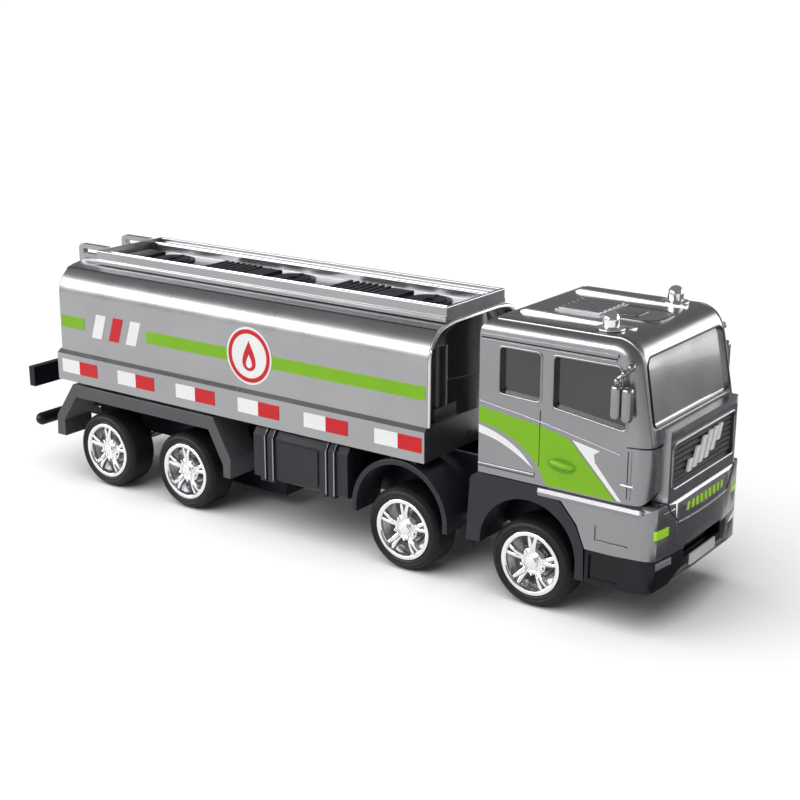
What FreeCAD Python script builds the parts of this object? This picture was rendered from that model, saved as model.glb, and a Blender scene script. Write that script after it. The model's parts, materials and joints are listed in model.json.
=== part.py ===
import FreeCAD, Part
import math
import os

import Sketcher
from FreeCAD import Placement, Rotation, Vector

# Friction-motor toy tanker truck in moulded plastic, millimetres, +Z up.
# Origin: the middle of the footprint on the ground.  +X is the truck's front, -Y its right-hand side.
# Lengthwise places are stated from the front axle, whose own place is a cell of the sheet.

DIMENSIONS = {
    "front_axle_x": 96.6,         # front axle from the middle of the truck
    "second_axle_back": 51.1,     # the other axles, back from the front axle
    "third_axle_back": 153.7,
    "fourth_axle_back": 196.4,
    "tyre_radius": 15.0,
    "tyre_width": 13.0,
    "rim_radius": 11.1,
    "track_half": 31.0,           # outer tyre face from the middle plane
    "axle_radius": 1.2,
    "running_clearance": 0.08,
    "body_half_width": 31.1,
    "wall": 1.6,
    "chassis_half_width": 13.0,
    "chassis_bottom": 20.0,
    "deck_bottom": 41.0,
    "deck_top": 53.2,
    "tank_rear_back": 221.3,
    "tank_front_back": 41.7,
    "tank_half_width": 29.2,
    "tank_top": 87.6,
    "tank_shoulder": 12.0,
    "walkway_half_width": 18.2,
    "walkway_top": 92.5,
    "walkway_rear_back": 209.3,
    "cab_rear_back": 20.2,
    "cab_bottom": 43.0,
    "cab_roof": 95.2,
    "cab_wall": 1.8,
    "bumper_top": 42.8,
    "bumper_split": 25.3,
    "bumper_bottom": 14.3,
    "nose_reach": 46.4,           # foremost point ahead of the front axle
    "nose_plan_radius": 180.0,
    "rear_bar_back": 239.6,
    "gear_module": 0.7,
    "gear_width": 2.6,
    "flywheel_radius": 8.0,
}
DRIVE_TEETH, PINION_TEETH, CLUSTER_TEETH, FLYWHEEL_TEETH = 22, 10, 26, 10

DOC = FreeCAD.newDocument("toy_tanker_truck")
SHEET = DOC.addObject("Spreadsheet::Sheet", "Dims")
for row, (alias, number) in enumerate(DIMENSIONS.items(), start=1):
    SHEET.set("A%d" % row, alias)
    SHEET.set("B%d" % row, str(number))
    SHEET.setAlias("B%d" % row, alias)
DOC.recompute()

NODES = {}
TURN = {"x": Rotation(Vector(0, 1, 0), 90), "y": Rotation(Vector(1, 0, 0), -90), "z": Rotation()}


class Size:
    """A length with the spreadsheet expression that it comes from."""

    def __init__(self, value, text):
        self.value = float(value)
        self.text = text

    def __add__(self, other):
        return combine(self, other, "+")

    def __radd__(self, other):
        return combine(other, self, "+")

    def __sub__(self, other):
        return combine(self, other, "-")

    def __rsub__(self, other):
        return combine(other, self, "-")

    def __mul__(self, other):
        return combine(self, other, "*")

    __rmul__ = __mul__

    def __neg__(self):
        return combine(0, self, "-")


def size(number):
    return number if isinstance(number, Size) else Size(number, "%.6g" % number)


def combine(first, second, sign):
    first, second = size(first), size(second)
    results = {
        "+": first.value + second.value,
        "-": first.value - second.value,
        "*": first.value * second.value,
    }
    return Size(results[sign], "(%s %s %s)" % (first.text, sign, second.text))


D = {alias: Size(number, "Dims." + alias) for alias, number in DIMENSIONS.items()}
FRONT = D["front_axle_x"]


def ahead(distance):
    """Place along X, counted forwards from the front axle."""
    return FRONT + distance


def bind(item, path, length):
    item.setExpression(path, size(length).text)


def in_order(pair):
    return sorted((size(pair[0]), size(pair[1])), key=lambda length: length.value)


def block(x_range, y_range, z_range):
    """Box between two planes on each axis."""
    box = DOC.addObject("Part::Box", "block")
    for span, axis, pair in zip(("Length", "Width", "Height"), "xyz", (x_range, y_range, z_range)):
        low, high = in_order(pair)
        bind(box, span, high - low)
        bind(box, "Placement.Base." + axis, low)
    return box


def rod(axis, radius, span, first, second):
    """Cylinder along an axis; first and second are its middle on the other two axes, in X, Y, Z order."""
    low, high = in_order(span)
    item = DOC.addObject("Part::Cylinder", "rod")
    item.Placement = Placement(Vector(), TURN[axis])
    bind(item, "Radius", radius)
    bind(item, "Height", high - low)
    others = iter((first, second))
    for letter in "xyz":
        bind(item, "Placement.Base." + letter, low if letter == axis else next(others))
    return item


def ball(radius, x, y, z):
    item = DOC.addObject("Part::Sphere", "ball")
    bind(item, "Radius", radius)
    for letter, place in zip("xyz", (x, y, z)):
        bind(item, "Placement.Base." + letter, place)
    return item


def join(*pieces):
    item = DOC.addObject("Part::MultiFuse", "join")
    item.Shapes = list(pieces)
    return item


def cut(base, *tools):
    item = DOC.addObject("Part::Cut", "cut")
    item.Base = base
    item.Tool = tools[0] if len(tools) == 1 else join(*tools)
    return item


def common(*pieces):
    item = DOC.addObject("Part::MultiCommon", "common")
    item.Shapes = list(pieces)
    return item


def group(*pieces):
    """Separate solids that are kept in one node."""
    item = DOC.addObject("Part::Compound", "group")
    item.Links = list(pieces)
    return item


def mirror_y(piece):
    item = DOC.addObject("Part::Mirroring", "mirrored")
    item.Source = piece
    item.Normal = (0, 1, 0)
    return item


def node(name, item):
    item.Label = name
    NODES[name] = item


def pair(name, right_piece):
    """The piece on the -Y side and its mirror image."""
    node(name + "_right", right_piece)
    node(name + "_left", mirror_y(right_piece))


PLANES = {"y": ("XZ_Plane", "x", "z"), "x": ("YZ_Plane", "y", "z"), "z": ("XY_Plane", "x", "y")}


def sketch_outline(body, plane_role, points):
    """Closed outline whose corners are held by dimensions from the sheet."""
    sketch = body.newObject("Sketcher::SketchObject", "outline")
    plane = [item for item in body.Origin.OriginFeatures if item.Role == plane_role][0]
    sketch.AttachmentSupport = [(plane, "")]
    sketch.MapMode = "FlatFace"
    points = [(size(u), size(v)) for u, v in points]
    count = len(points)
    for index, (u, v) in enumerate(points):
        next_u, next_v = points[(index + 1) % count]
        start, end = Vector(u.value, v.value, 0), Vector(next_u.value, next_v.value, 0)
        sketch.addGeometry(Part.LineSegment(start, end), False)
    for index, corner in enumerate(points):
        sketch.addConstraint(Sketcher.Constraint("Coincident", index, 2, (index + 1) % count, 1))
        for kind, length in zip(("DistanceX", "DistanceY"), corner):
            rule = Sketcher.Constraint(kind, -1, 1, index, 1, length.value)
            number = sketch.addConstraint(rule)
            bind(sketch, "Constraints[%d]" % number, length)
    return sketch


def prism(axis, points, span, rounds=()):
    """Pad an outline along an axis; rounds holds (corner number, radius) of its rounded corners."""
    low, high = in_order(span)
    plane_role, u_axis, v_axis = PLANES[axis]
    body = DOC.addObject("PartDesign::Body", "profile")
    sketch = sketch_outline(body, plane_role, points)
    pad = body.newObject("PartDesign::Pad", "pad")
    pad.Profile = sketch
    pad.SideType = "Symmetric"
    bind(pad, "Length", high - low)
    bind(body, "Placement.Base." + axis, (low + high) * 0.5)
    feature = pad
    for corner, radius in rounds:
        DOC.recompute()
        u, v = points[corner]
        names = []
        for number, edge in enumerate(feature.Shape.Edges, start=1):
            ends = [vertex.Point for vertex in edge.Vertexes]
            near = [
                abs(getattr(end, u_axis) - size(u).value) + abs(getattr(end, v_axis) - size(v).value)
                for end in ends
            ]
            if len(ends) == 2 and max(near) < 1e-4:
                names.append("Edge%d" % number)
        fillet = body.newObject("PartDesign::Fillet", "round")
        fillet.Base = (feature, names)
        bind(fillet, "Radius", radius)
        feature = fillet
    return body


def turned(profile, x, y, z):
    """Revolve a profile of (place along Y, radius) points about an axle at x, z."""
    body = DOC.addObject("PartDesign::Body", "turned")
    sketch = sketch_outline(body, "YZ_Plane", profile)
    revolution = body.newObject("PartDesign::Revolution", "revolution")
    revolution.Profile = sketch
    revolution.ReferenceAxis = (sketch, ["H_Axis"])
    revolution.Angle = 360
    for letter, place in zip("xyz", (x, y, z)):
        bind(body, "Placement.Base." + letter, place)
    return body


def right(low, high):
    """Range of |Y| on the -Y side."""
    return (-size(high), -size(low))


# ---------------------------------------------------------------- wheels and axles

AXLE_Z = D["tyre_radius"]
AXLE_X = [FRONT] + [FRONT - D[name + "_axle_back"] for name in ("second", "third", "fourth")]
RIM_WEB_DEPTH = 2.4
SPOKE_WINDOWS = 5


def tyre(x):
    """Tyre with rounded shoulders, standing on the -Y side; its inner face is the local zero."""
    width, outer, inner = D["tyre_width"], D["tyre_radius"], D["rim_radius"]
    profile = [
        (0, inner), (0, outer - 1.6), (1.4, outer - 0.2), (2.4, outer),
        (width - 3.2, outer), (width - 1.6, outer - 0.5), (width - 0.4, outer - 1.7), (width, inner + 0.6),
        (width, inner),
    ]
    flipped = [(-place, radius) for place, radius in profile]
    return turned(flipped, x, -D["track_half"] + width, AXLE_Z)


def rim(x):
    """Barrel with an outer web, hub and five windows between the spokes, on the -Y side."""
    width, outer = D["tyre_width"], D["rim_radius"]
    web_out = width - 0.8
    web_in = web_out - RIM_WEB_DEPTH
    profile = [
        (0, D["axle_radius"]), (0, 3.0), (web_in, 3.0), (web_in, outer - 1.1), (0, outer - 1.1),
        (0, outer), (width - 0.2, outer), (width - 0.2, outer - 1.1), (web_out - 0.8, outer - 2.0),
        (web_out, 3.0), (web_out, D["axle_radius"]),
    ]
    flipped = [(-place, radius) for place, radius in profile]
    wheel = turned(flipped, x, -D["track_half"] + width, AXLE_Z)
    windows = []
    for number in range(SPOKE_WINDOWS):
        angle = math.radians(90 + 36 + 360 / SPOKE_WINDOWS * number)
        centre_x, centre_z = x + 6.4 * math.cos(angle), AXLE_Z + 6.4 * math.sin(angle)
        windows.append(rod("y", 2.3, right(16, 32), centre_x, centre_z))
    return cut(wheel, *windows)


for number, place in enumerate(AXLE_X, start=1):
    pair("tyre_%d" % number, tyre(place))
    pair("rim_%d" % number, rim(place))
    reach = D["track_half"] - 1.4
    node("axle_%d" % number, rod("y", D["axle_radius"], (-reach, reach), place, AXLE_Z))

# ---------------------------------------------------------------- friction motor on the third axle

MOTOR_X = AXLE_X[2]
CASE_WALL = 1.2
CASE_HALF = 8.6
CASE_REAR, CASE_FRONT, CASE_BOTTOM, CASE_TOP = 10.0, 32.0, 5.4, 37.0
PIN_RADIUS = 0.8
CENTRES = {"drive": (0.0, 0.0), "cluster": (9.0, 6.7), "flywheel": (20.85, 11.0)}


def gear_shape(teeth, first_angle, y_low, width, bore):
    """Straight-flanked spur gear; first_angle is the direction of one tooth from +X towards +Z."""
    module = DIMENSIONS["gear_module"]
    pitch_radius = module * teeth / 2
    step = 2 * math.pi / teeth
    outline = [
        (pitch_radius - 1.05 * module, 0.30), (pitch_radius, 0.20), (pitch_radius + 0.75 * module, 0.09),
    ]
    flank = [(radius, -part) for radius, part in outline]
    flank += [(radius, part) for radius, part in outline[::-1]]
    corners = []
    for tooth in range(teeth):
        for radius, part in flank:
            angle = math.radians(first_angle) + (tooth + part) * step
            corners.append(Vector(radius * math.cos(angle), y_low, radius * math.sin(angle)))
    face = Part.Face(Part.makePolygon(corners + corners[:1]))
    gear = face.extrude(Vector(0, width, 0))
    if bore:
        gear = gear.cut(Part.makeCylinder(bore, width, Vector(0, y_low, 0), Vector(0, 1, 0)))
    return gear


def round_bar(radius, y_low, y_high):
    return Part.makeCylinder(radius, y_high - y_low, Vector(0, y_low, 0), Vector(0, 1, 0))


def direction(start, end):
    (x0, z0), (x1, z1) = CENTRES[start], CENTRES[end]
    return math.degrees(math.atan2(z1 - z0, x1 - x0))


def motor_part(name, shape, centre):
    feature = DOC.addObject("Part::Feature", name)
    feature.Shape = shape
    bind(feature, "Placement.Base.x", MOTOR_X + CENTRES[centre][0])
    bind(feature, "Placement.Base.z", AXLE_Z + CENTRES[centre][1])
    node(name, feature)


GEAR_WIDTH = DIMENSIONS["gear_width"]
to_cluster, to_flywheel = direction("drive", "cluster"), direction("cluster", "flywheel")
drive_gear = gear_shape(DRIVE_TEETH, to_cluster, 2.4, GEAR_WIDTH, DIMENSIONS["axle_radius"])
motor_part("drive_gear", drive_gear, "drive")

cluster = gear_shape(PINION_TEETH, to_cluster + 180 + 180 / PINION_TEETH, 2.0, GEAR_WIDTH + 0.8, 0)
cluster = cluster.fuse(gear_shape(CLUSTER_TEETH, to_flywheel, -4.2, GEAR_WIDTH, 0))
cluster = cluster.fuse(round_bar(2.0, -6.9, 2.0)).fuse(round_bar(2.0, 4.0, 6.9))
motor_part("cluster_gear", cluster.fuse(round_bar(PIN_RADIUS, -8.4, 8.4)), "cluster")

flywheel_angle = to_flywheel + 180 + 180 / FLYWHEEL_TEETH
flywheel = gear_shape(FLYWHEEL_TEETH, flywheel_angle, -4.6, GEAR_WIDTH + 0.8, 0)
flywheel = flywheel.fuse(round_bar(DIMENSIONS["flywheel_radius"], 0.4, 6.4)).fuse(round_bar(2.0, -6.9, 0.4))
motor_part("flywheel", flywheel.fuse(round_bar(PIN_RADIUS, -8.4, 8.4)).removeSplitter(), "flywheel")


def motor_case(y_inner, y_outer):
    """Half of the motor box, open towards the other half, with bores for the three shafts."""
    x_low, x_high = MOTOR_X - CASE_REAR, MOTOR_X + CASE_FRONT
    shell = block((x_low, x_high), (y_inner, y_outer), (CASE_BOTTOM, CASE_TOP))
    wall = CASE_WALL if y_outer > y_inner else -CASE_WALL
    hollow = block(
        (x_low + CASE_WALL, x_high - CASE_WALL), (y_inner, y_outer - wall),
        (CASE_BOTTOM + CASE_WALL, CASE_TOP - CASE_WALL),
    )
    bores = []
    for name, radius in (("drive", D["axle_radius"]), ("cluster", PIN_RADIUS), ("flywheel", PIN_RADIUS)):
        x_off, z_off = CENTRES[name]
        radius = radius + D["running_clearance"]
        bores.append(rod("y", radius, (-10, 10), MOTOR_X + x_off, AXLE_Z + z_off))
    return cut(shell, hollow, *bores)


node("motor_case_right", motor_case(0, -CASE_HALF))
node("motor_case_left", motor_case(0, CASE_HALF))

# ---------------------------------------------------------------- chassis

CHASSIS_REAR, CHASSIS_FRONT = ahead(-218), ahead(39)
CHASSIS_WALL = D["wall"]
SCREW_PLACES = (-211.0, -108.0, -66.0, 21.0)
SCREW_RADIUS = 1.1
BOSS_RADIUS = 3.0
HEAD_RADIUS, HEAD_DEPTH = 2.2, 1.5
PAD_RADIUS, PAD_TOP = 3.6, 23.2


def chassis():
    """Open-topped channel with bearing lugs for the axles and outriggers for the rear bars."""
    half, bottom, top = D["chassis_half_width"], D["chassis_bottom"], D["deck_bottom"]
    channel = block((CHASSIS_REAR, CHASSIS_FRONT), (-half, half), (bottom, top))
    inside = half - CHASSIS_WALL
    hollow = block((CHASSIS_REAR + CHASSIS_WALL, CHASSIS_FRONT - CHASSIS_WALL), (-inside, inside),
                   (bottom + CHASSIS_WALL, top + 1))
    motor_gap = 0.2
    window = block((MOTOR_X - CASE_REAR - motor_gap, MOTOR_X + CASE_FRONT + motor_gap),
                   (-CASE_HALF - motor_gap, CASE_HALF + motor_gap), (bottom - 1, bottom + 3))
    pieces = [cut(channel, hollow, window)]
    for place in (-180, -140, -90, -30, 10):
        pieces.append(block((ahead(place), ahead(place + 1.6)), (-half + 1, half - 1), (37, top)))
    for place in AXLE_X:
        for side in (-1, 1):
            pieces.append(block((place - 3.6, place + 3.6), (side * 9.0, side * half), (11.2, bottom + 1)))
    bore_radius = D["axle_radius"] + D["running_clearance"]
    bores = [rod("y", bore_radius, (-20, 20), place, AXLE_Z) for place in AXLE_X]
    holes = []
    for place in SCREW_PLACES:
        pieces.append(rod("z", PAD_RADIUS, (bottom, PAD_TOP), ahead(place), 0))
        holes.append(rod("z", SCREW_RADIUS + 0.1, (18, 24), ahead(place), 0))
        holes.append(rod("z", HEAD_RADIUS + 0.1, (18, bottom + HEAD_DEPTH), ahead(place), 0))
    for side in (-1, 1):
        arm_y = (side * 8.0, side * 11.0)
        pieces.append(block((ahead(-236.4), CHASSIS_REAR + 1), arm_y, (36.5, 40.5)))
        pieces.append(block((ahead(-234.2), CHASSIS_REAR + 1), arm_y, (20.4, 22.6)))
    return cut(join(*pieces), *(bores + holes))


node("chassis_frame", chassis())


HEAD_LEVEL = D["chassis_bottom"] + 0.2


def screws():
    """Cross-head screws that sit in the chassis floor and run up into the bosses."""
    pieces = []
    for place in SCREW_PLACES:
        head = rod("z", HEAD_RADIUS, (HEAD_LEVEL, D["chassis_bottom"] + HEAD_DEPTH), ahead(place), 0)
        slots = [
            block((ahead(place - 1.4), ahead(place + 1.4)), (-0.25, 0.25), (HEAD_LEVEL, HEAD_LEVEL + 0.6)),
            block((ahead(place - 0.25), ahead(place + 0.25)), (-1.4, 1.4), (HEAD_LEVEL, HEAD_LEVEL + 0.6)),
        ]
        shank = rod("z", SCREW_RADIUS, (HEAD_LEVEL + 1, 32), ahead(place), 0)
        pieces.append(cut(join(head, shank), *slots))
    return group(*pieces)


node("chassis_screws", screws())

REAR_BAR = D["rear_bar_back"]
node("rear_light_bar", block((FRONT - REAR_BAR, ahead(-236.4)), (-31, 31), (34.8, 43.1)))
UNDERRUN_X, UNDERRUN_Z, UNDERRUN_RADIUS = -235.2, 21.0, 2.6
underrun = join(
    rod("y", UNDERRUN_RADIUS, (-29.5, 29.5), ahead(UNDERRUN_X), UNDERRUN_Z),
    ball(UNDERRUN_RADIUS, ahead(UNDERRUN_X), -29.5, UNDERRUN_Z),
    ball(UNDERRUN_RADIUS, ahead(UNDERRUN_X), 29.5, UNDERRUN_Z),
)
arm_ends = [block((ahead(-234.2), ahead(-230)), (side * 7.8, side * 11.2), (20.2, 22.8)) for side in (-1, 1)]
node("underrun_bar", cut(underrun, *arm_ends))

# ---------------------------------------------------------------- fenders and side boxes

FENDER_INNER = 16.5


def front_fender():
    """Arch over the front wheel with a straight rear leg and a curved front leg."""
    outline = [
        (ahead(-24.7), 18.3), (ahead(-23.3), 40.7), (ahead(-20.5), 42.6), (ahead(5.1), 42.6),
        (ahead(10.7), 39.0), (ahead(16.4), 32.5), (ahead(19.5), 25.4), (ahead(19.9), 14.2),
        (ahead(10.0), 14.2), (ahead(-10.0), 18.3),
    ]
    solid = prism("y", outline, right(FENDER_INNER, D["body_half_width"]), [(1, 2.0), (4, 9.0), (5, 9.0)])
    arch = rod("y", 18.0, right(FENDER_INNER - 1, 33), ahead(-1.2), 19.0)
    mouth = block((ahead(-19.2), ahead(16.8)), right(FENDER_INNER - 1, 33), (10, 19.0))
    return cut(solid, arch, mouth)


def mid_fender():
    """Half-round mudguard over the second wheel, hung from the deck by a short foot."""
    middle = AXLE_X[1] - 1.3
    sides = right(FENDER_INNER, D["body_half_width"])
    skirt = block((middle - 20.2, middle + 20.2), sides, (17.6, 20))
    band = join(rod("y", 20.2, sides, middle, 20.0), skirt)
    lower = block((middle - 22, middle + 22), right(10, 40), (-4, 17.6))
    opening = join(rod("y", 18.2, right(10, 40), middle, 20.0),
                   block((middle - 18.2, middle + 18.2), right(10, 40), (10, 20)))
    foot = block((middle - 5, middle + 6), right(17, 29), (39.2, D["deck_bottom"]))
    return join(cut(band, lower, opening), foot)


def rear_guard():
    """Trapezoidal mudguard strip over the two rear wheels, with slanted bars in front of it."""
    sides = right(FENDER_INNER, D["body_half_width"])
    outer = [
        (ahead(-224.4), 16.9), (ahead(-223.9), 25.2), (ahead(-213.5), 39.8), (ahead(-137.9), 39.8),
        (ahead(-129.5), 24.7), (ahead(-129.9), 17.0),
    ]
    inner = [
        (ahead(-219.6), 10.0), (ahead(-219.6), 23.8), (ahead(-212.0), 34.6), (ahead(-140.4), 34.6),
        (ahead(-133.4), 21.6), (ahead(-133.4), 10.0),
    ]
    strip = cut(prism("y", outer, sides), prism("y", inner, right(10, 40)))
    feet = [block((ahead(place), ahead(place + 8)), right(17, 29), (39.4, D["deck_bottom"]))
            for place in (-206, -180, -152)]
    return join(strip, *feet)


def side_box():
    """Tool box under the deck: plain box with four straps and a raised middle panel."""
    box = prism("x", [(-30.2, 20.6), (-30.2, 37.0), (-28.4, 39.4), (-17.0, 39.4), (-17.0, 20.6)],
                (ahead(-118.5), ahead(-75.1)), [(0, 1.2)])
    strap_outline = [(-31.0, 20.0), (-31.0, 37.4), (-28.8, 40.2), (-24.0, 40.2), (-24.0, 20.0)]
    straps = [prism("x", strap_outline, (ahead(low), ahead(high)))
              for low, high in ((-114.7, -112.2), (-111.2, -108.4), (-86.4, -83.8), (-83.0, -80.2))]
    panel = block((ahead(-105.6), ahead(-88.2)), right(24, 30.7), (22.6, 36.0))
    foot = block((ahead(-112), ahead(-82)), right(18, 27), (39.0, D["deck_bottom"]))
    return join(box, panel, foot, *straps)


pair("front_fender", front_fender())
pair("mid_fender", mid_fender())
pair("rear_guard", rear_guard())
pair("side_box", side_box())

# ---------------------------------------------------------------- tank and walkway

TANK_X = (FRONT - D["tank_rear_back"], FRONT - D["tank_front_back"])
LEDGE_INNER = 26.0


def tank_deck():
    """Skirt all round the tank's foot with a sloped ledge, a floor and screw bosses."""
    half, bottom, top, wall = D["body_half_width"], D["deck_bottom"], D["deck_top"], D["wall"]
    outline = [(-half, bottom), (-half, top - 1.2), (-half + 1.7, top), (half - 1.7, top),
               (half, top - 1.2), (half, bottom)]
    solid = prism("x", outline, TANK_X)
    x_inside = (TANK_X[0] + wall, TANK_X[1] - wall)
    hollow = block(x_inside, (-half + wall, half - wall), (bottom + wall, top - wall))
    mouth = block(x_inside, (-LEDGE_INNER, LEDGE_INNER), (bottom + wall, top + 1))
    shell = cut(solid, hollow, mouth)
    places = [place for place in SCREW_PLACES if place < -42]
    bosses = [rod("z", BOSS_RADIUS, (PAD_TOP, bottom + 0.5), ahead(place), 0)
              for place in places]
    holes = [rod("z", SCREW_RADIUS, (18, 32), ahead(place), 0) for place in places]
    return cut(join(shell, *bosses), *holes)


CROWN_HALF, CROWN_RISE = 17.5, 3.6


def tank_outline(inset):
    """Upright sides that lean in slightly, large rounded shoulders and a low crown."""
    half, top = D["tank_half_width"] - inset, D["tank_top"] - inset
    crown = CROWN_HALF + 0.15 * inset
    eaves = top - CROWN_RISE + 0.26 * inset
    right_half = [(half + 0.2, D["deck_top"]), (half, 70), (half, eaves), (crown, top)]
    return [(-y, z) for y, z in right_half] + right_half[::-1]


def tank_solid(inset, span):
    shoulder = D["tank_shoulder"] - inset
    return prism("x", tank_outline(inset), span, [(2, shoulder), (5, shoulder)])


PANEL_DEPTH = 3.0
PANEL_THICK = 1.6


def tank_shell():
    """Hood of the tank with its closed rear end; the front is open behind its rim."""
    wall = D["wall"]
    outer = tank_solid(0, TANK_X)
    inner = tank_solid(wall, (TANK_X[0] + wall, TANK_X[1] + 1))
    half = D["tank_half_width"] - wall
    belly = block((TANK_X[0] + wall, TANK_X[1] + 1), (-half, half), (50, 60))
    return cut(outer, inner, belly)


def tank_front_panel():
    """Recessed end wall of the tank with three upright half-round bulges and a sill."""
    face = TANK_X[1] - PANEL_DEPTH
    plate = tank_solid(D["wall"], (face - PANEL_THICK, face))
    bulges = []
    for place in (-17.0, 0.0, 17.0):
        bulges.append(rod("z", 5.2, (D["deck_top"], 79.0), face - 3.4, place))
    sill = block((face - 1, TANK_X[1] - 1.0), (-24, 24), (D["deck_top"], 58.0))
    return join(plate, sill, *bulges)


node("tank_deck", tank_deck())
node("tank_shell", tank_shell())
node("tank_front_panel", tank_front_panel())

WALKWAY_X = (FRONT - D["walkway_rear_back"], FRONT - D["tank_front_back"] - 0.1)
WALKWAY_WALL = 1.2
WALKWAY_FLOOR = 88.2
LEDGE_LEVEL = 91.0
WELL_HALF = 12.2


def walkway_tray():
    """Coaming on the tank's top: thin walls over a rounded foot, a ledge inside them and a sunken well."""
    half, top = D["walkway_half_width"], D["walkway_top"]
    foot = D["walkway_half_width"] + 0.5
    outline = [(-foot, 86.4), (-foot, 88.6), (-half, 89.2), (-half, top), (half, top),
               (half, 89.2), (foot, 88.6), (foot, 86.4)]
    solid = prism("x", outline, WALKWAY_X)
    x_inside = (WALKWAY_X[0] + WALKWAY_WALL, WALKWAY_X[1] - WALKWAY_WALL)
    y_inside = (-half + WALKWAY_WALL, half - WALKWAY_WALL)
    above_ledge = block(x_inside, y_inside, (LEDGE_LEVEL, top + 1))
    well = block(x_inside, (-WELL_HALF, WELL_HALF), (WALKWAY_FLOOR, top))
    return cut(solid, above_ledge, well, tank_solid(0, TANK_X))


HATCH_CENTRES = (-185.0, -123.5, -62.0)
HATCH_RADIUS = 8.6


def manhole_covers():
    """Three round covers, each with a stepped lid, a hub and a lifting bar."""
    pieces = []
    for place in HATCH_CENTRES:
        x = ahead(place)
        pieces.append(join(
            rod("z", HATCH_RADIUS, (WALKWAY_FLOOR, WALKWAY_FLOOR + 0.8), x, 0),
            rod("z", HATCH_RADIUS - 2.0, (WALKWAY_FLOOR + 0.7, WALKWAY_FLOOR + 1.4), x, 0),
            rod("z", 2.2, (WALKWAY_FLOOR + 1.3, WALKWAY_FLOOR + 2.0), x, 0),
            block((x - 0.8, x + 0.8), (-5.6, 5.6), (WALKWAY_FLOOR + 1.3, WALKWAY_FLOOR + 1.8)),
        ))
    return group(*pieces)


def tread_plates():
    """A smooth plate behind each cover, and a ribbed foot plate ahead of the first two."""
    pieces = []
    for place in HATCH_CENTRES:
        x = ahead(place)
        pieces.append(block((x - 19.5, x - 10.5), (-6.5, 6.5), (WALKWAY_FLOOR, WALKWAY_FLOOR + 1.6)))
    for place in HATCH_CENTRES[:2]:
        x = ahead(place + 20)
        plate = block((x, x + 21), (-9.0, 9.0), (WALKWAY_FLOOR, WALKWAY_FLOOR + 0.6))
        ribs = [block((x + 0.8 + 2.9 * step, x + 2.2 + 2.9 * step), (-8.4, 8.4),
                      (WALKWAY_FLOOR + 0.5, WALKWAY_FLOOR + 1.5)) for step in range(7)]
        pieces.append(join(plate, *ribs))
    return group(*pieces)


RAIL_WIDTH = 0.8


def walkway_rails():
    """Two long low bars along the edges of the well."""
    x_span = (WALKWAY_X[0] + WALKWAY_WALL, WALKWAY_X[1] - WALKWAY_WALL)
    return group(*[block(x_span, (side * WELL_HALF, side * (WELL_HALF + RAIL_WIDTH)), (LEDGE_LEVEL, 91.6))
                   for side in (-1, 1)])


node("walkway_tray", walkway_tray())
node("manhole_covers", manhole_covers())
node("tread_plates", tread_plates())
node("walkway_rails", walkway_rails())

LADDER_INNER, LADDER_OUTER = 10.6, 13.0
RUNG_RADIUS = 0.9


def rear_ladder():
    """Two flat side plates up the tank's rear end, hooked over its roof with a slot, and rungs."""
    back = TANK_X[0] - 3.9
    post_front = TANK_X[0] - 1.5
    hook = [(back, 47), (back, 93.0), (WALKWAY_X[0], 93.0), (WALKWAY_X[0], 86), (TANK_X[0] - 1, 86),
            (post_front, 84), (post_front, 47)]
    pieces = []
    for side in (-1, 1):
        sides = (side * LADDER_INNER, side * LADDER_OUTER)
        plate = prism("y", hook, sides, [(1, 2.2)])
        slot = block((post_front + 0.4, WALKWAY_X[0] - 3.4), (side * 10, side * 14), (89.3, 91.2))
        pieces.append(cut(plate, slot))
        for level in (50, 72):
            pieces.append(block((post_front - 1, TANK_X[0]), sides, (level, level + 2)))
    for level in (54.5, 62.0, 69.5, 77.0, 84.5):
        pieces.append(rod("y", RUNG_RADIUS, (-LADDER_INNER - 1, LADDER_INNER + 1), back + 1.2, level))
    return cut(join(*pieces), tank_solid(0, TANK_X))


node("rear_ladder", rear_ladder())

# ---------------------------------------------------------------- cab

CAB_REAR = FRONT - D["cab_rear_back"]
NOSE = FRONT + D["nose_reach"]


PLAN_CORNER = 5.5
FRONT_RISE = 1.0


def plan_solid(inset, z_range):
    """Plan form of the nose: a long flat arc across the front with rounded corners."""
    half, radius = D["body_half_width"] - inset, D["nose_plan_radius"]
    x_low = CAB_REAR - 10
    front = NOSE - inset
    corners = [(x_low, -half), (front, -half), (front, half), (x_low, half)]
    corner = PLAN_CORNER + 1.5 - inset * 0.5
    plan = prism("z", corners, z_range, [(1, corner), (2, corner)])
    low, high = in_order(z_range)
    return common(plan, rod("z", radius, (low - 1, high + 1), front - radius, 0))


COLUMN_FRONT = ahead(41.7)
PILLAR_ROUND = 5.0
NOSE_HALF = 24.6


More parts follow.
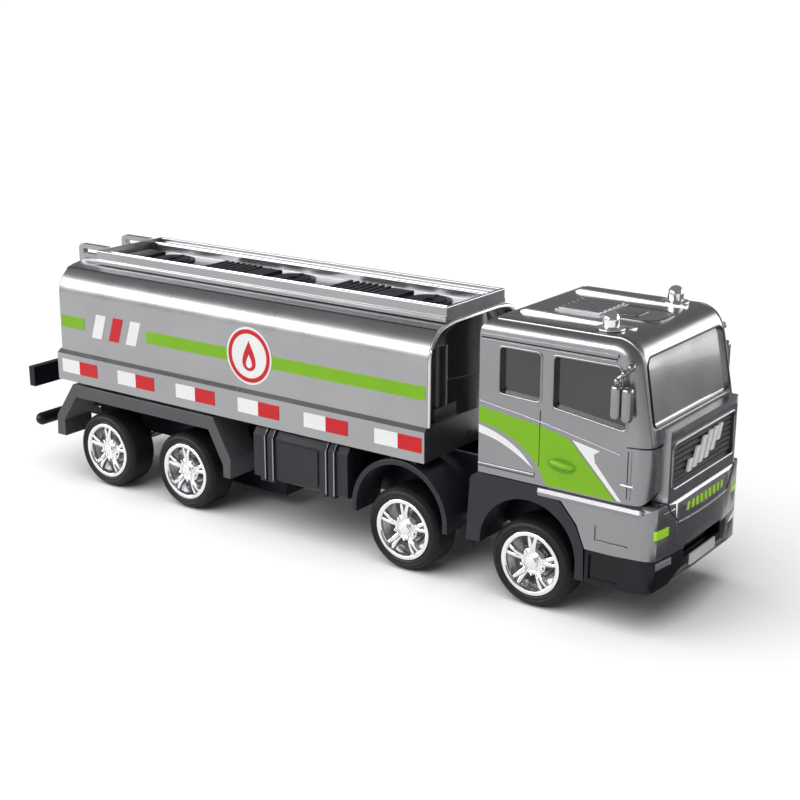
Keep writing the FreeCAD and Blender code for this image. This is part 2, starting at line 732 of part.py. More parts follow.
def cab_body(inset):
    """Leaning windscreen over upright corner columns, with one round all along the outer edge."""
    rear, roof, half = CAB_REAR + inset, D["cab_roof"] - inset, D["body_half_width"] - inset
    bottom, front = D["cab_bottom"], COLUMN_FRONT - inset
    side = [(rear, bottom), (rear, roof), (ahead(35.4) - inset, roof), (front, 61.9),
            (front, bottom + 0.7), (ahead(30), bottom)]
    body = prism("y", side, (-half, half), [(2, 9.5 - inset), (3, 60)])
    DOC.recompute()
    feature = body.Tip
    names = []
    for number, edge in enumerate(feature.Shape.Edges, start=1):
        ends = [vertex.Point for vertex in edge.Vertexes]
        outer = all(abs(abs(end.y) - half.value) < 1e-4 and end.z > bottom.value + 0.3 for end in ends)
        if len(ends) == 2 and outer and max(end.x for end in ends) > rear.value + 1:
            names.append("Edge%d" % number)
    fillet = body.newObject("PartDesign::Fillet", "pillar_round")
    fillet.Base = (feature, names)
    bind(fillet, "Radius", PILLAR_ROUND - inset)
    rear_round = prism("y", [(rear, bottom - 1), (rear, roof), (ahead(60), roof), (ahead(60), bottom - 1)],
                       (-40, 40), [(1, 6.0 - inset)])
    return common(body, rear_round)


def nose(inset):
    """Middle of the front: a belt ledge over an upright face, bowed in plan."""
    bottom, belt, half = D["cab_bottom"], inset * 0.6, NOSE_HALF - inset
    side = [
        (ahead(30), bottom), (ahead(30), 67.2 - belt), (ahead(45.4) - inset, 67.2 - belt),
        (ahead(45.6) - inset, 65.2 - belt), (ahead(44.7) - inset, 64.4 - belt),
        (ahead(44.9) - inset, bottom + FRONT_RISE),
    ]
    return common(prism("y", side, (-half, half)), plan_solid(inset, (bottom, 68)))


def cab_solid(inset):
    return join(cab_body(inset), nose(inset))


SIDE_WINDOWS = {
    "rear": [(ahead(-12.5), 71.3), (ahead(-12.5), 86.2), (ahead(2.3), 86.2), (ahead(2.3), 70.6)],
    "front": [(ahead(7.2), 70.0), (ahead(7.2), 86.2), (ahead(30.0), 86.2), (ahead(32.8), 66.6)],
}
SCREEN_HALF, SCREEN_LOW, SCREEN_HIGH = 26.6, 68.2, 88.8
GRILLE_HALF, GRILLE_LOW, GRILLE_HIGH = 22.4, 48.0, 62.0
GRILLE_BACK = 40.6
CAB_INSIDE = D["cab_wall"]


def cab_shell():
    """Thin-walled cab with side windows, windscreen and grille opening."""
    openings = [prism("y", outline, (-40, 40), [(0, 1.0), (1, 1.0), (2, 1.0), (3, 1.0)])
                for outline in SIDE_WINDOWS.values()]
    screen = prism("x", [(-SCREEN_HALF - 0.6, SCREEN_LOW), (-SCREEN_HALF, SCREEN_HIGH),
                         (SCREEN_HALF, SCREEN_HIGH), (SCREEN_HALF + 0.6, SCREEN_LOW)],
                   (ahead(33), ahead(50)), [(0, 1.5), (1, 2.5), (2, 2.5), (3, 1.5)])
    grille = block((ahead(GRILLE_BACK), ahead(50)), (-GRILLE_HALF, GRILLE_HALF), (GRILLE_LOW, GRILLE_HIGH))
    hollow = block((CAB_REAR + 2, ahead(30)), (-25, 25), (40, 46))
    return cut(cab_solid(0), cab_solid(CAB_INSIDE), screen, grille, hollow, *openings)


def cab_glazing():
    """Panes that lie against the inside of the cab wall behind each opening, in one clear moulding."""
    pane = cut(cab_solid(CAB_INSIDE), cab_solid(CAB_INSIDE + 1.2))
    zones = [
        block((ahead(-15), ahead(34)), (-32, 32), (64, 88.0)),
        block((ahead(30), ahead(48)), (-29.2, 29.2), (66.8, 89.4)),
    ]
    return common(pane, join(*zones))


def grille_insert():
    """Dark panel in the nose with seven level ribs."""
    zone = block((ahead(GRILLE_BACK), ahead(50)), (-GRILLE_HALF, GRILLE_HALF), (GRILLE_LOW, GRILLE_HIGH))
    plate = common(cab_solid(1.0), zone)
    bars = [block((ahead(GRILLE_BACK), ahead(50)), (-GRILLE_HALF + 1.2, GRILLE_HALF - 1.2),
                  (49.2 + 1.75 * step, 50.1 + 1.75 * step)) for step in range(7)]
    return join(plate, common(cab_solid(0.5), join(*bars)))


node("cab_shell", cab_shell())
node("cab_glazing", cab_glazing())
node("grille_insert", grille_insert())

floor_zone = block((CAB_REAR + D["cab_wall"], ahead(29.8)), (-28, 28), (D["cab_bottom"], 44.8))
floor_boss = rod("z", BOSS_RADIUS, (PAD_TOP, 43.5), ahead(SCREW_PLACES[-1]), 0)
floor_hole = rod("z", SCREW_RADIUS, (18, 32), ahead(SCREW_PLACES[-1]), 0)
floor_foot = block((ahead(-12), ahead(12)), (-12.8, 12.8), (D["deck_bottom"], 43.2))
node("cab_floor", cut(join(floor_zone, floor_boss, floor_foot), floor_hole))


BEACON_X, BEACON_Y, BEACON_FLANGE = 21.6, 22.4, 4.8


def roof_rails():
    """Two low rails along the cab roof that taper towards the front."""
    outline = [(ahead(-13), 93.5), (ahead(-13), 95.6), (ahead(-11.5), 96.3), (ahead(28), 95.6),
               (ahead(28), 93.5)]
    clear_of_beacon = [rod("z", BEACON_FLANGE + 0.3, (93, 97), ahead(BEACON_X), side * BEACON_Y)
                       for side in (-1, 1)]
    rails = join(*[prism("y", outline, (side * 17.3, side * 18.7)) for side in (-1, 1)])
    return cut(rails, *clear_of_beacon)


def roof_louvre():
    """Vent panel with lengthwise slats, and the round-cornered hatch ahead of it."""
    panel = block((ahead(-5.5), ahead(10.8)), (-9.8, 9.8), (94.0, 95.7))
    slats = [block((ahead(-4.6), ahead(10)), (-9.0 + 3.1 * step, -6.8 + 3.1 * step), (95.6, 96.2))
             for step in range(6)]
    hatch = prism("z", [(ahead(11.6), -8.6), (ahead(30), -8.2), (ahead(30), 8.2), (ahead(11.6), 8.6)],
                  (94.0, 95.5), [(1, 5.0), (2, 5.0)])
    return group(join(panel, *slats), hatch)


def roof_beacons():
    """Round lamps near the roof's front corners: a flange, a short drum and a dome."""
    pieces = []
    for side in (-1, 1):
        x, y = ahead(BEACON_X), side * BEACON_Y
        pieces.append(join(
            rod("z", 3.2, (92.4, 95.4), x, y),
            rod("z", BEACON_FLANGE, (95.3, 96.1), x, y),
            rod("z", 2.9, (96.0, 98.2), x, y),
            ball(2.8, x, y, 98.2),
        ))
    return group(*pieces)


def seated(piece):
    """Cut a roof fitting to the cab's outer surface so that it stands on it."""
    return cut(piece, cab_solid(0))


node("roof_rails", seated(roof_rails()))
node("roof_louvre", seated(roof_louvre()))
node("roof_beacons", seated(roof_beacons()))


def mirror_unit():
    """Upright mirror housing with a grooved back on a curved arm from the cab's corner."""
    inner, outer = -33.2, -36.6
    outline = [(ahead(28.8), inner), (ahead(28.8), outer), (ahead(35.2), outer), (ahead(35.2), inner)]
    housing = prism("z", outline, (70.9, 82.2), [(0, 1.0), (1, 1.6), (2, 1.6), (3, 1.0)])
    groove = rod("z", 0.8, (70, 83), ahead(31.8), -37.0)
    arm = [rod("z", 0.9, (81, 87.6), ahead(33.4), -34.6), ball(0.9, ahead(33.4), -34.6, 87.6),
           rod("y", 0.9, (-34.6, -31.1), ahead(33.4), 87.6)]
    return cut(join(cut(housing, groove), *arm), cab_solid(0))


pair("mirror", mirror_unit())

# ---------------------------------------------------------------- bumpers and lamps

BUMPER_WALL = 1.8


def bumper_solid(inset):
    """Upper bumper: its rear edge follows the fender's arch, its top edges are rounded over."""
    top, split, half = D["bumper_top"] - inset, D["bumper_split"], D["body_half_width"] - inset
    side = [
        (ahead(20.0) + inset, split), (ahead(16.9) + inset, 32.8), (ahead(11.2) + inset, 39.3 - inset * 0.4),
        (ahead(6.6) + inset, top), (ahead(30) - inset, top), (ahead(45.2) - inset, top + FRONT_RISE),
        (NOSE - inset, 38.0), (NOSE - inset, 30.0), (ahead(45.8) - inset, split + FRONT_RISE),
        (ahead(30), split),
    ]
    profile = prism("y", side, (-40, 40), [(5, 2.0)])
    section = [(-half, split - 1), (-half, top + 0.2), (half, top + 0.2), (half, split - 1)]
    section = [(y, z + FRONT_RISE if z.value > 30 else z) for y, z in section]
    shoulder = prism("x", section, (ahead(0), NOSE + 2), [(1, 3.6 - inset), (2, 3.6 - inset)])
    return common(profile, shoulder, plan_solid(inset, (split, D["bumper_top"] + 2)))


HEADLAMP_Y, HEADLAMP_Z = (23.0, 30.0), (33.0, 36.2)
INTAKE_HALF = 13.7


def headlamp_zone(side):
    return block((ahead(41.0), ahead(50)), (side * HEADLAMP_Y[0], side * HEADLAMP_Y[1]), HEADLAMP_Z)


def front_bumper():
    centre_mouth = block((ahead(20), ahead(50)), (-INTAKE_HALF, INTAKE_HALF), (24, 27.0))
    lamp_cuts = [headlamp_zone(side) for side in (-1, 1)]
    inner = bumper_solid(BUMPER_WALL)
    open_below = block((ahead(23), ahead(42)), (-29, 29), (24, 26))
    fender_gap = block((ahead(0), ahead(24.5)), (-29.3, 29.3), (20, 44))
    recess = [block((ahead(23.3), ahead(34.8)), (side * 30.6, side * 32), (28.8, 34.1)) for side in (-1, 1)]
    return cut(bumper_solid(0), inner, centre_mouth, open_below, fender_gap, *(lamp_cuts + recess))


def headlamps():
    return group(*[common(bumper_solid(0), headlamp_zone(side)) for side in (-1, 1)])


def lower_solid(inset):
    """Dark lower bumper, its underside swept up towards the front."""
    split, bottom = D["bumper_split"], D["bumper_bottom"]
    side = [
        (ahead(20.3) + inset, bottom), (ahead(20.3) + inset, split), (ahead(30), split),
        (ahead(45.8) - inset, split + FRONT_RISE), (ahead(45.8) - inset, 20.0), (ahead(45.0) - inset, 16.6),
        (ahead(41.8) - inset, 14.9), (ahead(37.0), bottom),
    ]
    return common(prism("y", side, (-40, 40)), plan_solid(inset, (bottom, split + FRONT_RISE)))


FOG_Y, FOG_Z = (21.0, 29.4), (23.0, 25.4)
PLATE_HALF, PLATE_LOW, PLATE_HIGH = 9.4, 18.9, 22.5


def fog_zone(side):
    return block((ahead(40.5), ahead(50)), (side * FOG_Y[0], side * FOG_Y[1]), FOG_Z)


def lower_bumper():
    inner = common(lower_solid(BUMPER_WALL), block((ahead(22), ahead(50)), (-40, 40), (16, 30)))
    open_rear = block((ahead(18), ahead(39)), (-29.3, 29.3), (16, 30))
    recess = [block((ahead(21.6), ahead(32)), (side * 30.3, side * 32), (15.9, 24.0)) for side in (-1, 1)]
    fog_cuts = [fog_zone(side) for side in (-1, 1)]
    stay = block((CHASSIS_FRONT, ahead(43)), (-9, 9), (15, 24))
    shell = cut(lower_solid(0), inner, open_rear, *(recess + fog_cuts))
    mouth = block((ahead(43.4), ahead(50)), (-INTAKE_HALF, INTAKE_HALF), (22.8, 27))
    groove = block((ahead(44.9), ahead(50)), (-20, 20), (17.6, 18.1))
    return cut(join(shell, stay), mouth, groove)


def fog_lamps():
    return group(*[common(lower_solid(0), fog_zone(side)) for side in (-1, 1)])


node("front_bumper", front_bumper())
node("headlamps", headlamps())
node("lower_bumper", lower_bumper())
node("fog_lamps", fog_lamps())
plate = block((ahead(44), NOSE), (-PLATE_HALF, PLATE_HALF), (PLATE_LOW, PLATE_HIGH))
node("number_plate", cut(plate, lower_solid(0)))

# ---------------------------------------------------------------- check and write

DOC.recompute()
for item in DOC.Objects:
    if {"Invalid", "Error"} & set(item.State):
        raise RuntimeError("%s (%s) did not compute" % (item.Name, item.Label))
os.makedirs("parts", exist_ok=True)
for name, item in NODES.items():
    shape = item.Shape
    if shape.isNull() or not shape.isValid() or not shape.Solids:
        raise RuntimeError("bad shape: " + name)
    shape.exportStep("parts/%s.step" % name)
    print("%-20s solids %d  volume %9.1f" % (name, len(shape.Solids), shape.Volume))
print(len(NODES), "nodes")
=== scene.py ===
import json
import math

import bmesh
import bpy
import numpy as np
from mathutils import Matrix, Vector


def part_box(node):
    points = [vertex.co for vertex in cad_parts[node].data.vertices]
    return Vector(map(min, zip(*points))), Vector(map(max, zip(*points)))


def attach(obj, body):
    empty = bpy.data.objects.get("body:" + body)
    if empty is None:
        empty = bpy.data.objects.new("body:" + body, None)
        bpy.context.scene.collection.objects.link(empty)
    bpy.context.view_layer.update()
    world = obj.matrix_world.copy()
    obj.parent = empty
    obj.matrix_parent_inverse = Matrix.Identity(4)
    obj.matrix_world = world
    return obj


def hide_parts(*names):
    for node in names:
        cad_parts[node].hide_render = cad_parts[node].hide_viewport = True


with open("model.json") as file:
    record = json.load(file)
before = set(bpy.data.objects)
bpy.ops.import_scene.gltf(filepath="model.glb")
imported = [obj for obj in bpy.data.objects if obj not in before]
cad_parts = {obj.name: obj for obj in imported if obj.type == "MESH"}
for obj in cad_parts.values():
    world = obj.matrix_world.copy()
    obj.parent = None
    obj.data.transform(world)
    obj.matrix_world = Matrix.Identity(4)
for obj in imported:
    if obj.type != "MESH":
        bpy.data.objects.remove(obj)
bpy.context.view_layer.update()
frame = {"nodes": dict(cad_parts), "record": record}

# Looks of a friction-motor toy tanker truck.  Shapes are worked out in millimetres and put into the
# meshes in metres; +X is the truck's front and -Y its right-hand side.

MM = 0.001
BODY = "truck_body"


def box_mm(node):
    low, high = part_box(node)
    return np.array(low) / MM, np.array(high) / MM


# ---------------------------------------------------------------- surfaces

def rounded(corners, steps=6):
    """Closed outline whose corners (u, v, r) are rounded: each arc has radius r and touches both
    sides at r * tan(half the turn) from the corner."""
    corners = [np.array(corner, float) for corner in corners]
    points = []
    for index, corner in enumerate(corners):
        here, radius = corner[:2], corner[2]
        if radius <= 0:
            points.append(here)
            continue
        back = corners[index - 1][:2] - here
        ahead = corners[(index + 1) % len(corners)][:2] - here
        back, ahead = back / np.linalg.norm(back), ahead / np.linalg.norm(ahead)
        half_angle = math.acos(np.clip(back @ ahead, -1, 1)) / 2
        reach = radius / math.tan(half_angle)
        middle = back + ahead
        centre = here + middle / np.linalg.norm(middle) * radius / math.sin(half_angle)
        start, end = here + back * reach - centre, here + ahead * reach - centre
        sweep = math.pi - 2 * half_angle
        for share in np.linspace(0, 1, steps + 1):
            first = math.sin((1 - share) * sweep) / math.sin(sweep)
            last = math.sin(share * sweep) / math.sin(sweep)
            points.append(centre + start * first + end * last)
    return np.array(points)


class Skin:
    """One piece, gathered from surface patches in millimetres."""

    def __init__(self, name):
        self.name = name
        self.points = np.zeros((0, 3))
        self.faces = []
        self.slots = []

    def add(self, points, faces, slot=0):
        start = len(self.points)
        self.points = np.vstack([self.points, np.asarray(points, float).reshape(-1, 3)])
        self.faces += [[start + int(corner) for corner in face] for face in faces]
        self.slots += [slot] * len(faces)

    def sheet(self, grid, wrap_rows=False, wrap_columns=False, slot=0):
        """Quads between the neighbours of a grid of points P(row, column)."""
        rows, columns = grid.shape[:2]
        row = np.arange(rows if wrap_rows else rows - 1)[:, None]
        column = np.arange(columns if wrap_columns else columns - 1)[None, :]
        next_row, next_column = (row + 1) % rows, (column + 1) % columns
        quads = np.stack([row * columns + column, row * columns + next_column,
                          next_row * columns + next_column, next_row * columns + column], -1)
        self.add(grid, quads.reshape(-1, 4), slot)

    def cap(self, loop, slot=0):
        self.add(loop, [range(len(loop))], slot)

    def tube(self, grid, slot=0):
        """Closed loops of points, one per row, joined and capped at both ends."""
        self.sheet(grid, wrap_columns=True, slot=slot)
        self.cap(grid[0], slot)
        self.cap(grid[-1], slot)

    def piece(self, materials, body=BODY, replaces=(), sharp=32):
        mesh = bpy.data.meshes.new(self.name)
        mesh.from_pydata((self.points * MM).tolist(), [], self.faces)
        mesh.polygons.foreach_set("material_index", self.slots)
        work = bmesh.new()
        work.from_mesh(mesh)
        bmesh.ops.remove_doubles(work, verts=work.verts, dist=2e-7)
        bmesh.ops.recalc_face_normals(work, faces=work.faces)
        work.to_mesh(mesh)
        work.free()
        mesh.polygons.foreach_set("use_smooth", [True] * len(mesh.polygons))
        mesh.set_sharp_from_angle(angle=math.radians(sharp))
        item = bpy.data.objects.new(self.name, mesh)
        bpy.context.scene.collection.objects.link(item)
        for material in materials if isinstance(materials, (list, tuple)) else [materials]:
            mesh.materials.append(material)
        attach(item, body)
        if replaces:
            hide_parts(*replaces)
        return item


def lathe(skin, profile, centre, turns=96, axis="y", slot=0, closed=False, bump=None):
    """P(s, t) = centre + a(s) along the axis + r(s) in direction t round it; profile rows are (a, r).
    bump(a, r, t) adds to the radius."""
    angle = np.linspace(0, 2 * math.pi, turns, endpoint=False)[None, :]
    along, radius = profile[:, 0][:, None], profile[:, 1][:, None]
    if bump is not None:
        radius = radius + bump(along, radius, angle)
    across, up = radius * np.cos(angle), radius * np.sin(angle)
    along = along + 0 * angle
    order = {"y": (across, along, up), "z": (across, up, along), "x": (along, across, up)}[axis]
    grid = np.stack(order, -1) + np.array(centre, float)
    skin.sheet(grid, wrap_rows=closed, wrap_columns=True, slot=slot)


def slab(skin, outline, low, high, axis="y", edge=0.0, slot=0):
    """Flat outline (u, v) given thickness from low to high along an axis.  Its rim is a quarter circle:
    at a depth e (1 - cos a) below a face the outline is drawn in by e (1 - sin a)."""
    low, high = min(low, high), max(low, high)

    def place(loop, level):
        flat = np.full(len(loop), float(level))
        order = {"y": (loop[:, 0], flat, loop[:, 1]), "x": (flat, loop[:, 0], loop[:, 1]),
                 "z": (loop[:, 0], loop[:, 1], flat)}[axis]
        return np.stack(order, -1)
    angles = np.linspace(math.pi / 2, 0, 4) if edge else [0.0]
    first = [(low + edge * (1 - math.cos(angle)), edge * (1 - math.sin(angle))) for angle in angles[::-1]]
    second = [(low + high - level, amount) for level, amount in first[::-1]]
    loops = [place(shrink(outline, amount), level) for level, amount in first + second]
    skin.tube(np.array(loops), slot)


def shrink(loop, amount):
    """Moves each point of a closed outline inwards by amount, square to its neighbours' chord."""
    if not amount:
        return loop
    chord = np.roll(loop, -1, 0) - np.roll(loop, 1, 0)
    normal = np.stack([-chord[:, 1], chord[:, 0]], -1)
    normal /= np.linalg.norm(normal, axis=1)[:, None] + 1e-12
    following = np.roll(loop, -1, 0)
    area = np.sum(loop[:, 0] * following[:, 1] - following[:, 0] * loop[:, 1])
    return loop + normal * amount * (1 if area > 0 else -1)


def pipe(skin, path, radius, sides=12, slot=0):
    """Round bar along a path: a circle of the given radius carried square to the path's tangent."""
    path = np.array(path, float)
    tangent = np.gradient(path, axis=0)
    tangent /= np.linalg.norm(tangent, axis=1)[:, None]
    helper = np.where(np.abs(tangent[:, 2:3]) > 0.9, [[1.0, 0, 0]], [[0, 0, 1.0]])
    first = np.cross(tangent, helper)
    first /= np.linalg.norm(first, axis=1)[:, None]
    second = np.cross(tangent, first)
    angle = np.linspace(0, 2 * math.pi, sides, endpoint=False)[None, :, None]
    radius = np.broadcast_to(np.asarray(radius, float), (len(path),))[:, None, None]
    ring = first[:, None] * np.cos(angle) + second[:, None] * np.sin(angle)
    skin.tube(path[:, None] + radius * ring, slot)


# ---------------------------------------------------------------- materials

class Link:
    """A socket or a number in a shader expression."""

    def __init__(self, graph, socket):
        self.graph = graph
        self.socket = socket

    def math(self, operation, *others):
        inputs = {0: self}
        for index, other in enumerate(others, start=1):
            inputs[index] = other
        return self.graph.node("ShaderNodeMath", {"operation": operation}, inputs)

    def __add__(self, other):
        return self.math("ADD", other)

    __radd__ = __add__

    def __sub__(self, other):
        return self.math("SUBTRACT", other)

    def __rsub__(self, other):
        return (self * -1) + other

    def __mul__(self, other):
        return self.math("MULTIPLY", other)

    __rmul__ = __mul__

    def smooth(self, low, high):
        """Smooth step from 0 at low to 1 at high."""
        settings = {"interpolation_type": "SMOOTHSTEP"}
        span = {"Value": self, "From Min": low, "From Max": high}
        return self.graph.node("ShaderNodeMapRange", settings, span)


class Graph:
    """The nodes of one material, with its Principled shader."""

    def __init__(self, name, **constants):
        self.material = bpy.data.materials.new(name)
        self.material.use_nodes = True
        self.tree = self.material.node_tree
        self.shader = self.tree.nodes["Principled BSDF"]
        for socket, value in constants.items():
            self.shader.inputs[socket.replace("_", " ")].default_value = value
        self.object_place = self.node("ShaderNodeTexCoord", {}, {}, "Object")

    def node(self, kind, settings, inputs, output=0):
        item = self.tree.nodes.new(kind)
        for name, value in settings.items():
            if name == "stops":
                set_stops(item.color_ramp, value)
            else:
                setattr(item, name, value)
        for name, value in inputs.items():
            if isinstance(value, Link):
                self.tree.links.new(value.socket, item.inputs[name])
            else:
                item.inputs[name].default_value = value
        return Link(self, item.outputs[output])

    def feed(self, name, value):
        self.tree.links.new(value.socket, self.shader.inputs[name])

    def noise(self, scale, detail=3.0, roughness=0.5):
        inputs = {"Vector": self.object_place, "Scale": scale, "Detail": detail, "Roughness": roughness}
        return self.node("ShaderNodeTexNoise", {}, inputs)

    def blend(self, factor, first, second):
        """Colour that goes from first to second with factor."""
        inputs = {"Factor": factor, "A": rgba(first), "B": rgba(second)}
        item = self.tree.nodes.new("ShaderNodeMix")
        item.data_type = "RGBA"
        for index, value in ((0, inputs["Factor"]), (6, inputs["A"]), (7, inputs["B"])):
            if isinstance(value, Link):
                self.tree.links.new(value.socket, item.inputs[index])
            else:
                item.inputs[index].default_value = value
        return Link(self, item.outputs[2])

    def bump(self, height, strength, distance):
        inputs = {"Height": height, "Strength": strength, "Distance": distance}
        self.feed("Normal", self.node("ShaderNodeBump", {}, inputs))

    def place(self):
        """The three object coordinates, in millimetres."""
        item = self.tree.nodes.new("ShaderNodeSeparateXYZ")
        self.tree.links.new(self.object_place.socket, item.inputs[0])
        return [Link(self, output) * 1000.0 for output in item.outputs]


def set_stops(ramp, stops):
    while len(ramp.elements) < len(stops):
        ramp.elements.new(0.5)
    for element, (position, shade) in zip(ramp.elements, stops):
        element.position = position
        element.color = rgba(shade)


def rgba(shade):
    if isinstance(shade, Link):
        return shade
    return (*shade, 1.0) if len(shade) == 3 else tuple(shade)


def lacquer(name, shade, darker, metallic=0.9, roughness=0.3):
    """Metallic lacquer on moulded plastic: fine flakes, faint clouding and orange peel."""
    graph = Graph(name, Coat_Weight=0.35, Coat_Roughness=0.12, Metallic=metallic)
    flakes = graph.noise(5200.0, 2.0, 0.7).smooth(0.42, 0.66)
    clouds = graph.noise(38.0, 3.0, 0.55).smooth(0.3, 0.75)
    graph.feed("Base Color", graph.blend(flakes * 0.35 + clouds * 0.35, darker, shade))
    graph.feed("Roughness", clouds * 0.05 + flakes * 0.05 + (roughness - 0.04))
    peel = graph.noise(420.0, 2.0, 0.5)
    graph.bump(peel + flakes * 0.3, 0.12, 0.00006)
    return graph.material


def plastic(name, shade, roughness=0.42, grain=900.0, depth=0.00008, specular=0.5):
    """Moulded plastic with a fine spark-eroded grain, slight colour mottling and rubbed patches."""
    graph = Graph(name, Specular_IOR_Level=specular)
    fine = graph.noise(grain, 4.0, 0.6)
    broad = graph.noise(45.0, 3.0, 0.55).smooth(0.25, 0.8)
    lighter = tuple(min(1.0, part * 1.25 + 0.004) for part in shade)
    graph.feed("Base Color", graph.blend(broad * 0.7 + fine * 0.2, shade, lighter))
    graph.feed("Roughness", fine * 0.12 + broad * 0.08 + (roughness - 0.1))
    graph.bump(fine, 0.35, depth)
    return graph.material


def print_ink(name, shade, roughness=0.32):
    """Pad-printed ink: near-flat colour with a dotted weave and tiny pits."""
    graph = Graph(name, Coat_Weight=0.12, Coat_Roughness=0.2, Specular_IOR_Level=0.25)
    weave = graph.noise(1600.0, 3.0, 0.6)
    patch = graph.noise(70.0, 2.0, 0.5).smooth(0.3, 0.8)
    deeper = tuple(part * 0.86 for part in shade)
    graph.feed("Base Color", graph.blend(weave * 0.4 + patch * 0.4, deeper, shade))
    graph.feed("Roughness", weave * 0.1 + (roughness - 0.05))
    graph.bump(weave, 0.15, 0.00004)
    return graph.material


def bright_plate(name, shade=(0.8, 0.8, 0.81), roughness=0.16):
    """Vacuum-metallised plastic: mirror-like, with a faint haze and soft ripples."""
    graph = Graph(name, Metallic=1.0)
    haze = graph.noise(160.0, 4.0, 0.6).smooth(0.35, 0.8)
    ripple = graph.noise(330.0, 2.0, 0.5)
    dull = tuple(part * 0.9 for part in shade)
    graph.feed("Base Color", graph.blend(haze, shade, dull))
    graph.feed("Roughness", haze * 0.1 + (roughness - 0.03))
    graph.bump(ripple, 0.1, 0.00005)
    return graph.material


def soft_vinyl(name):
    """Tyre vinyl: black with patches of brown bloom, and a faint mould texture."""
    graph = Graph(name, Specular_IOR_Level=0.2)
    fine = graph.noise(1100.0, 4.0, 0.65)
    bloom = graph.noise(90.0, 3.0, 0.6).smooth(0.35, 0.75)
    dark, brown = (0.006, 0.006, 0.009), (0.024, 0.019, 0.017)
    graph.feed("Base Color", graph.blend(bloom * 0.6 + fine * 0.25, dark, brown))
    graph.feed("Roughness", fine * 0.2 + bloom * 0.12 + 0.34)
    graph.bump(fine, 0.4, 0.0001)
    return graph.material


def smoked_pane(name, shade, metallic, roughness=0.08):
    """Glossy smoked styrene, with slight flow ripples from moulding."""
    graph = Graph(name, Metallic=metallic, Coat_Weight=0.6, Coat_Roughness=0.03)
    flow = graph.noise(60.0, 2.0, 0.4)
    specks = graph.noise(900.0, 3.0, 0.6).smooth(0.55, 0.8)
    lighter = tuple(part * 1.3 for part in shade)
    graph.feed("Base Color", graph.blend(flow.smooth(0.3, 0.7), shade, lighter))
    graph.feed("Roughness", specks * 0.06 + roughness)
    graph.bump(flow, 0.08, 0.0002)
    return graph.material


def turned_steel(name):
    """Drawn steel: fine rings round the axle's length and a soft haze."""
    graph = Graph(name, Metallic=1.0)
    rings = graph.noise(700.0, 3.0, 0.6)
    graph.feed("Base Color", graph.blend(rings, (0.52, 0.52, 0.53), (0.7, 0.7, 0.7)))
    graph.feed("Roughness", rings * 0.2 + 0.2)
    graph.bump(rings, 0.2, 0.00005)
    return graph.material


SILVER = lacquer("silver_lacquer", (0.37, 0.37, 0.38), (0.31, 0.31, 0.32), 0.94)
# Darker copy of the silver lacquer for the cab and its trim: painted shade, as the cab is the same silver as
# the tank.
SHADED_CAB_SILVER = lacquer("cab_silver_painted_shade", (0.29, 0.29, 0.3), (0.24, 0.24, 0.25), 0.94)
BRIGHT = lacquer("bright_silver", (0.78, 0.78, 0.79), (0.66, 0.66, 0.67), roughness=0.22)
# Dark copy of the silver lacquer for the tank's front end: painted shade where the front faces the cab.
SHADED_TANK_FRONT_LACQUER = lacquer("tank_front_painted_shade", (0.12, 0.12, 0.125), (0.08, 0.08, 0.085), 0.8, 0.2)
CHROME = bright_plate("metallised_rim")
BLACK = plastic("blue_black_plastic", (0.004, 0.004, 0.009), 0.36, specular=0.22)
GLOSS_BLACK = plastic("gloss_black_plastic", (0.003, 0.003, 0.006), 0.22, 500.0, 0.00003, 0.25)
FENDER = plastic("dark_grey_plastic", (0.014, 0.014, 0.019), 0.36, specular=0.3)
GUARD = plastic("mid_grey_plastic", (0.06, 0.06, 0.066), 0.38, specular=0.35)
GRILLE = plastic("grille_plastic", (0.006, 0.006, 0.008), 0.34, specular=0.25)
GEAR = plastic("natural_acetal", (0.72, 0.7, 0.64), 0.35)
PLATE = plastic("light_grey_plastic", (0.5, 0.5, 0.5), 0.4)
TYRE = soft_vinyl("tyre_vinyl")
STEEL = turned_steel("drawn_steel")
SIDE_PANE = smoked_pane("smoked_side_pane", (0.016, 0.015, 0.013), 0.05)
SCREEN_PANE = smoked_pane("smoked_windscreen", (0.42, 0.42, 0.42), 0.8, 0.1)
LIME = print_ink("lime_ink", (0.2, 0.47, 0.002))
# Darker lime for the patch round the door handle: painted shade of a recess.
LIME_RECESS_SHADE = print_ink("lime_painted_recess_shade", (0.13, 0.34, 0.006))
LIME_LAMP = print_ink("lime_lamp_lacquer", (0.42, 0.78, 0.02), 0.2)
RED = print_ink("red_ink", (0.6, 0.004, 0.01))
WHITE = print_ink("white_ink", (0.86, 0.86, 0.86))

SLOT_MATERIALS = {
    "tyre": TYRE, "rim": CHROME, "steel": STEEL, "gear": GEAR, "motor_case": BLACK, "chassis": BLACK,
    "fender": FENDER, "guard": GUARD, "silver": SILVER, "tank_front": SHADED_TANK_FRONT_LACQUER, "bright": BRIGHT,
    "glazing": SIDE_PANE, "grille": GRILLE, "lower_bumper": GLOSS_BLACK, "headlamp": LIME_LAMP,
    "plate": PLATE,
}


def finish_cad_nodes():
    """Each carried-over node takes its slot's material and softened edges; the cab shell and front bumper
    take the darker cab copy of the silver lacquer, which is painted shade.
    """
    for entry in frame["record"]["subparts"]:
        item = frame["nodes"][entry["node"]]
        material = SLOT_MATERIALS[entry["material_slot"]]
        if entry["node"] in ("cab_shell", "front_bumper"):
            material = SHADED_CAB_SILVER
        if item.material_slots:
            for holder in item.material_slots:
                holder.link = "OBJECT"
                holder.material = material
        weld = item.modifiers.new("weld", "WELD")
        weld.merge_threshold = 2e-6
        bevel = item.modifiers.new("soft_edges", "BEVEL")
        bevel.width = 0.00022
        bevel.segments = 2
        bevel.limit_method = "ANGLE"
        bevel.angle_limit = math.radians(32)
        bevel.harden_normals = False


# ---------------------------------------------------------------- wheels

def wheel_middle(number):
    low, high = box_mm("axle_%d" % number)
    return (low + high) / 2


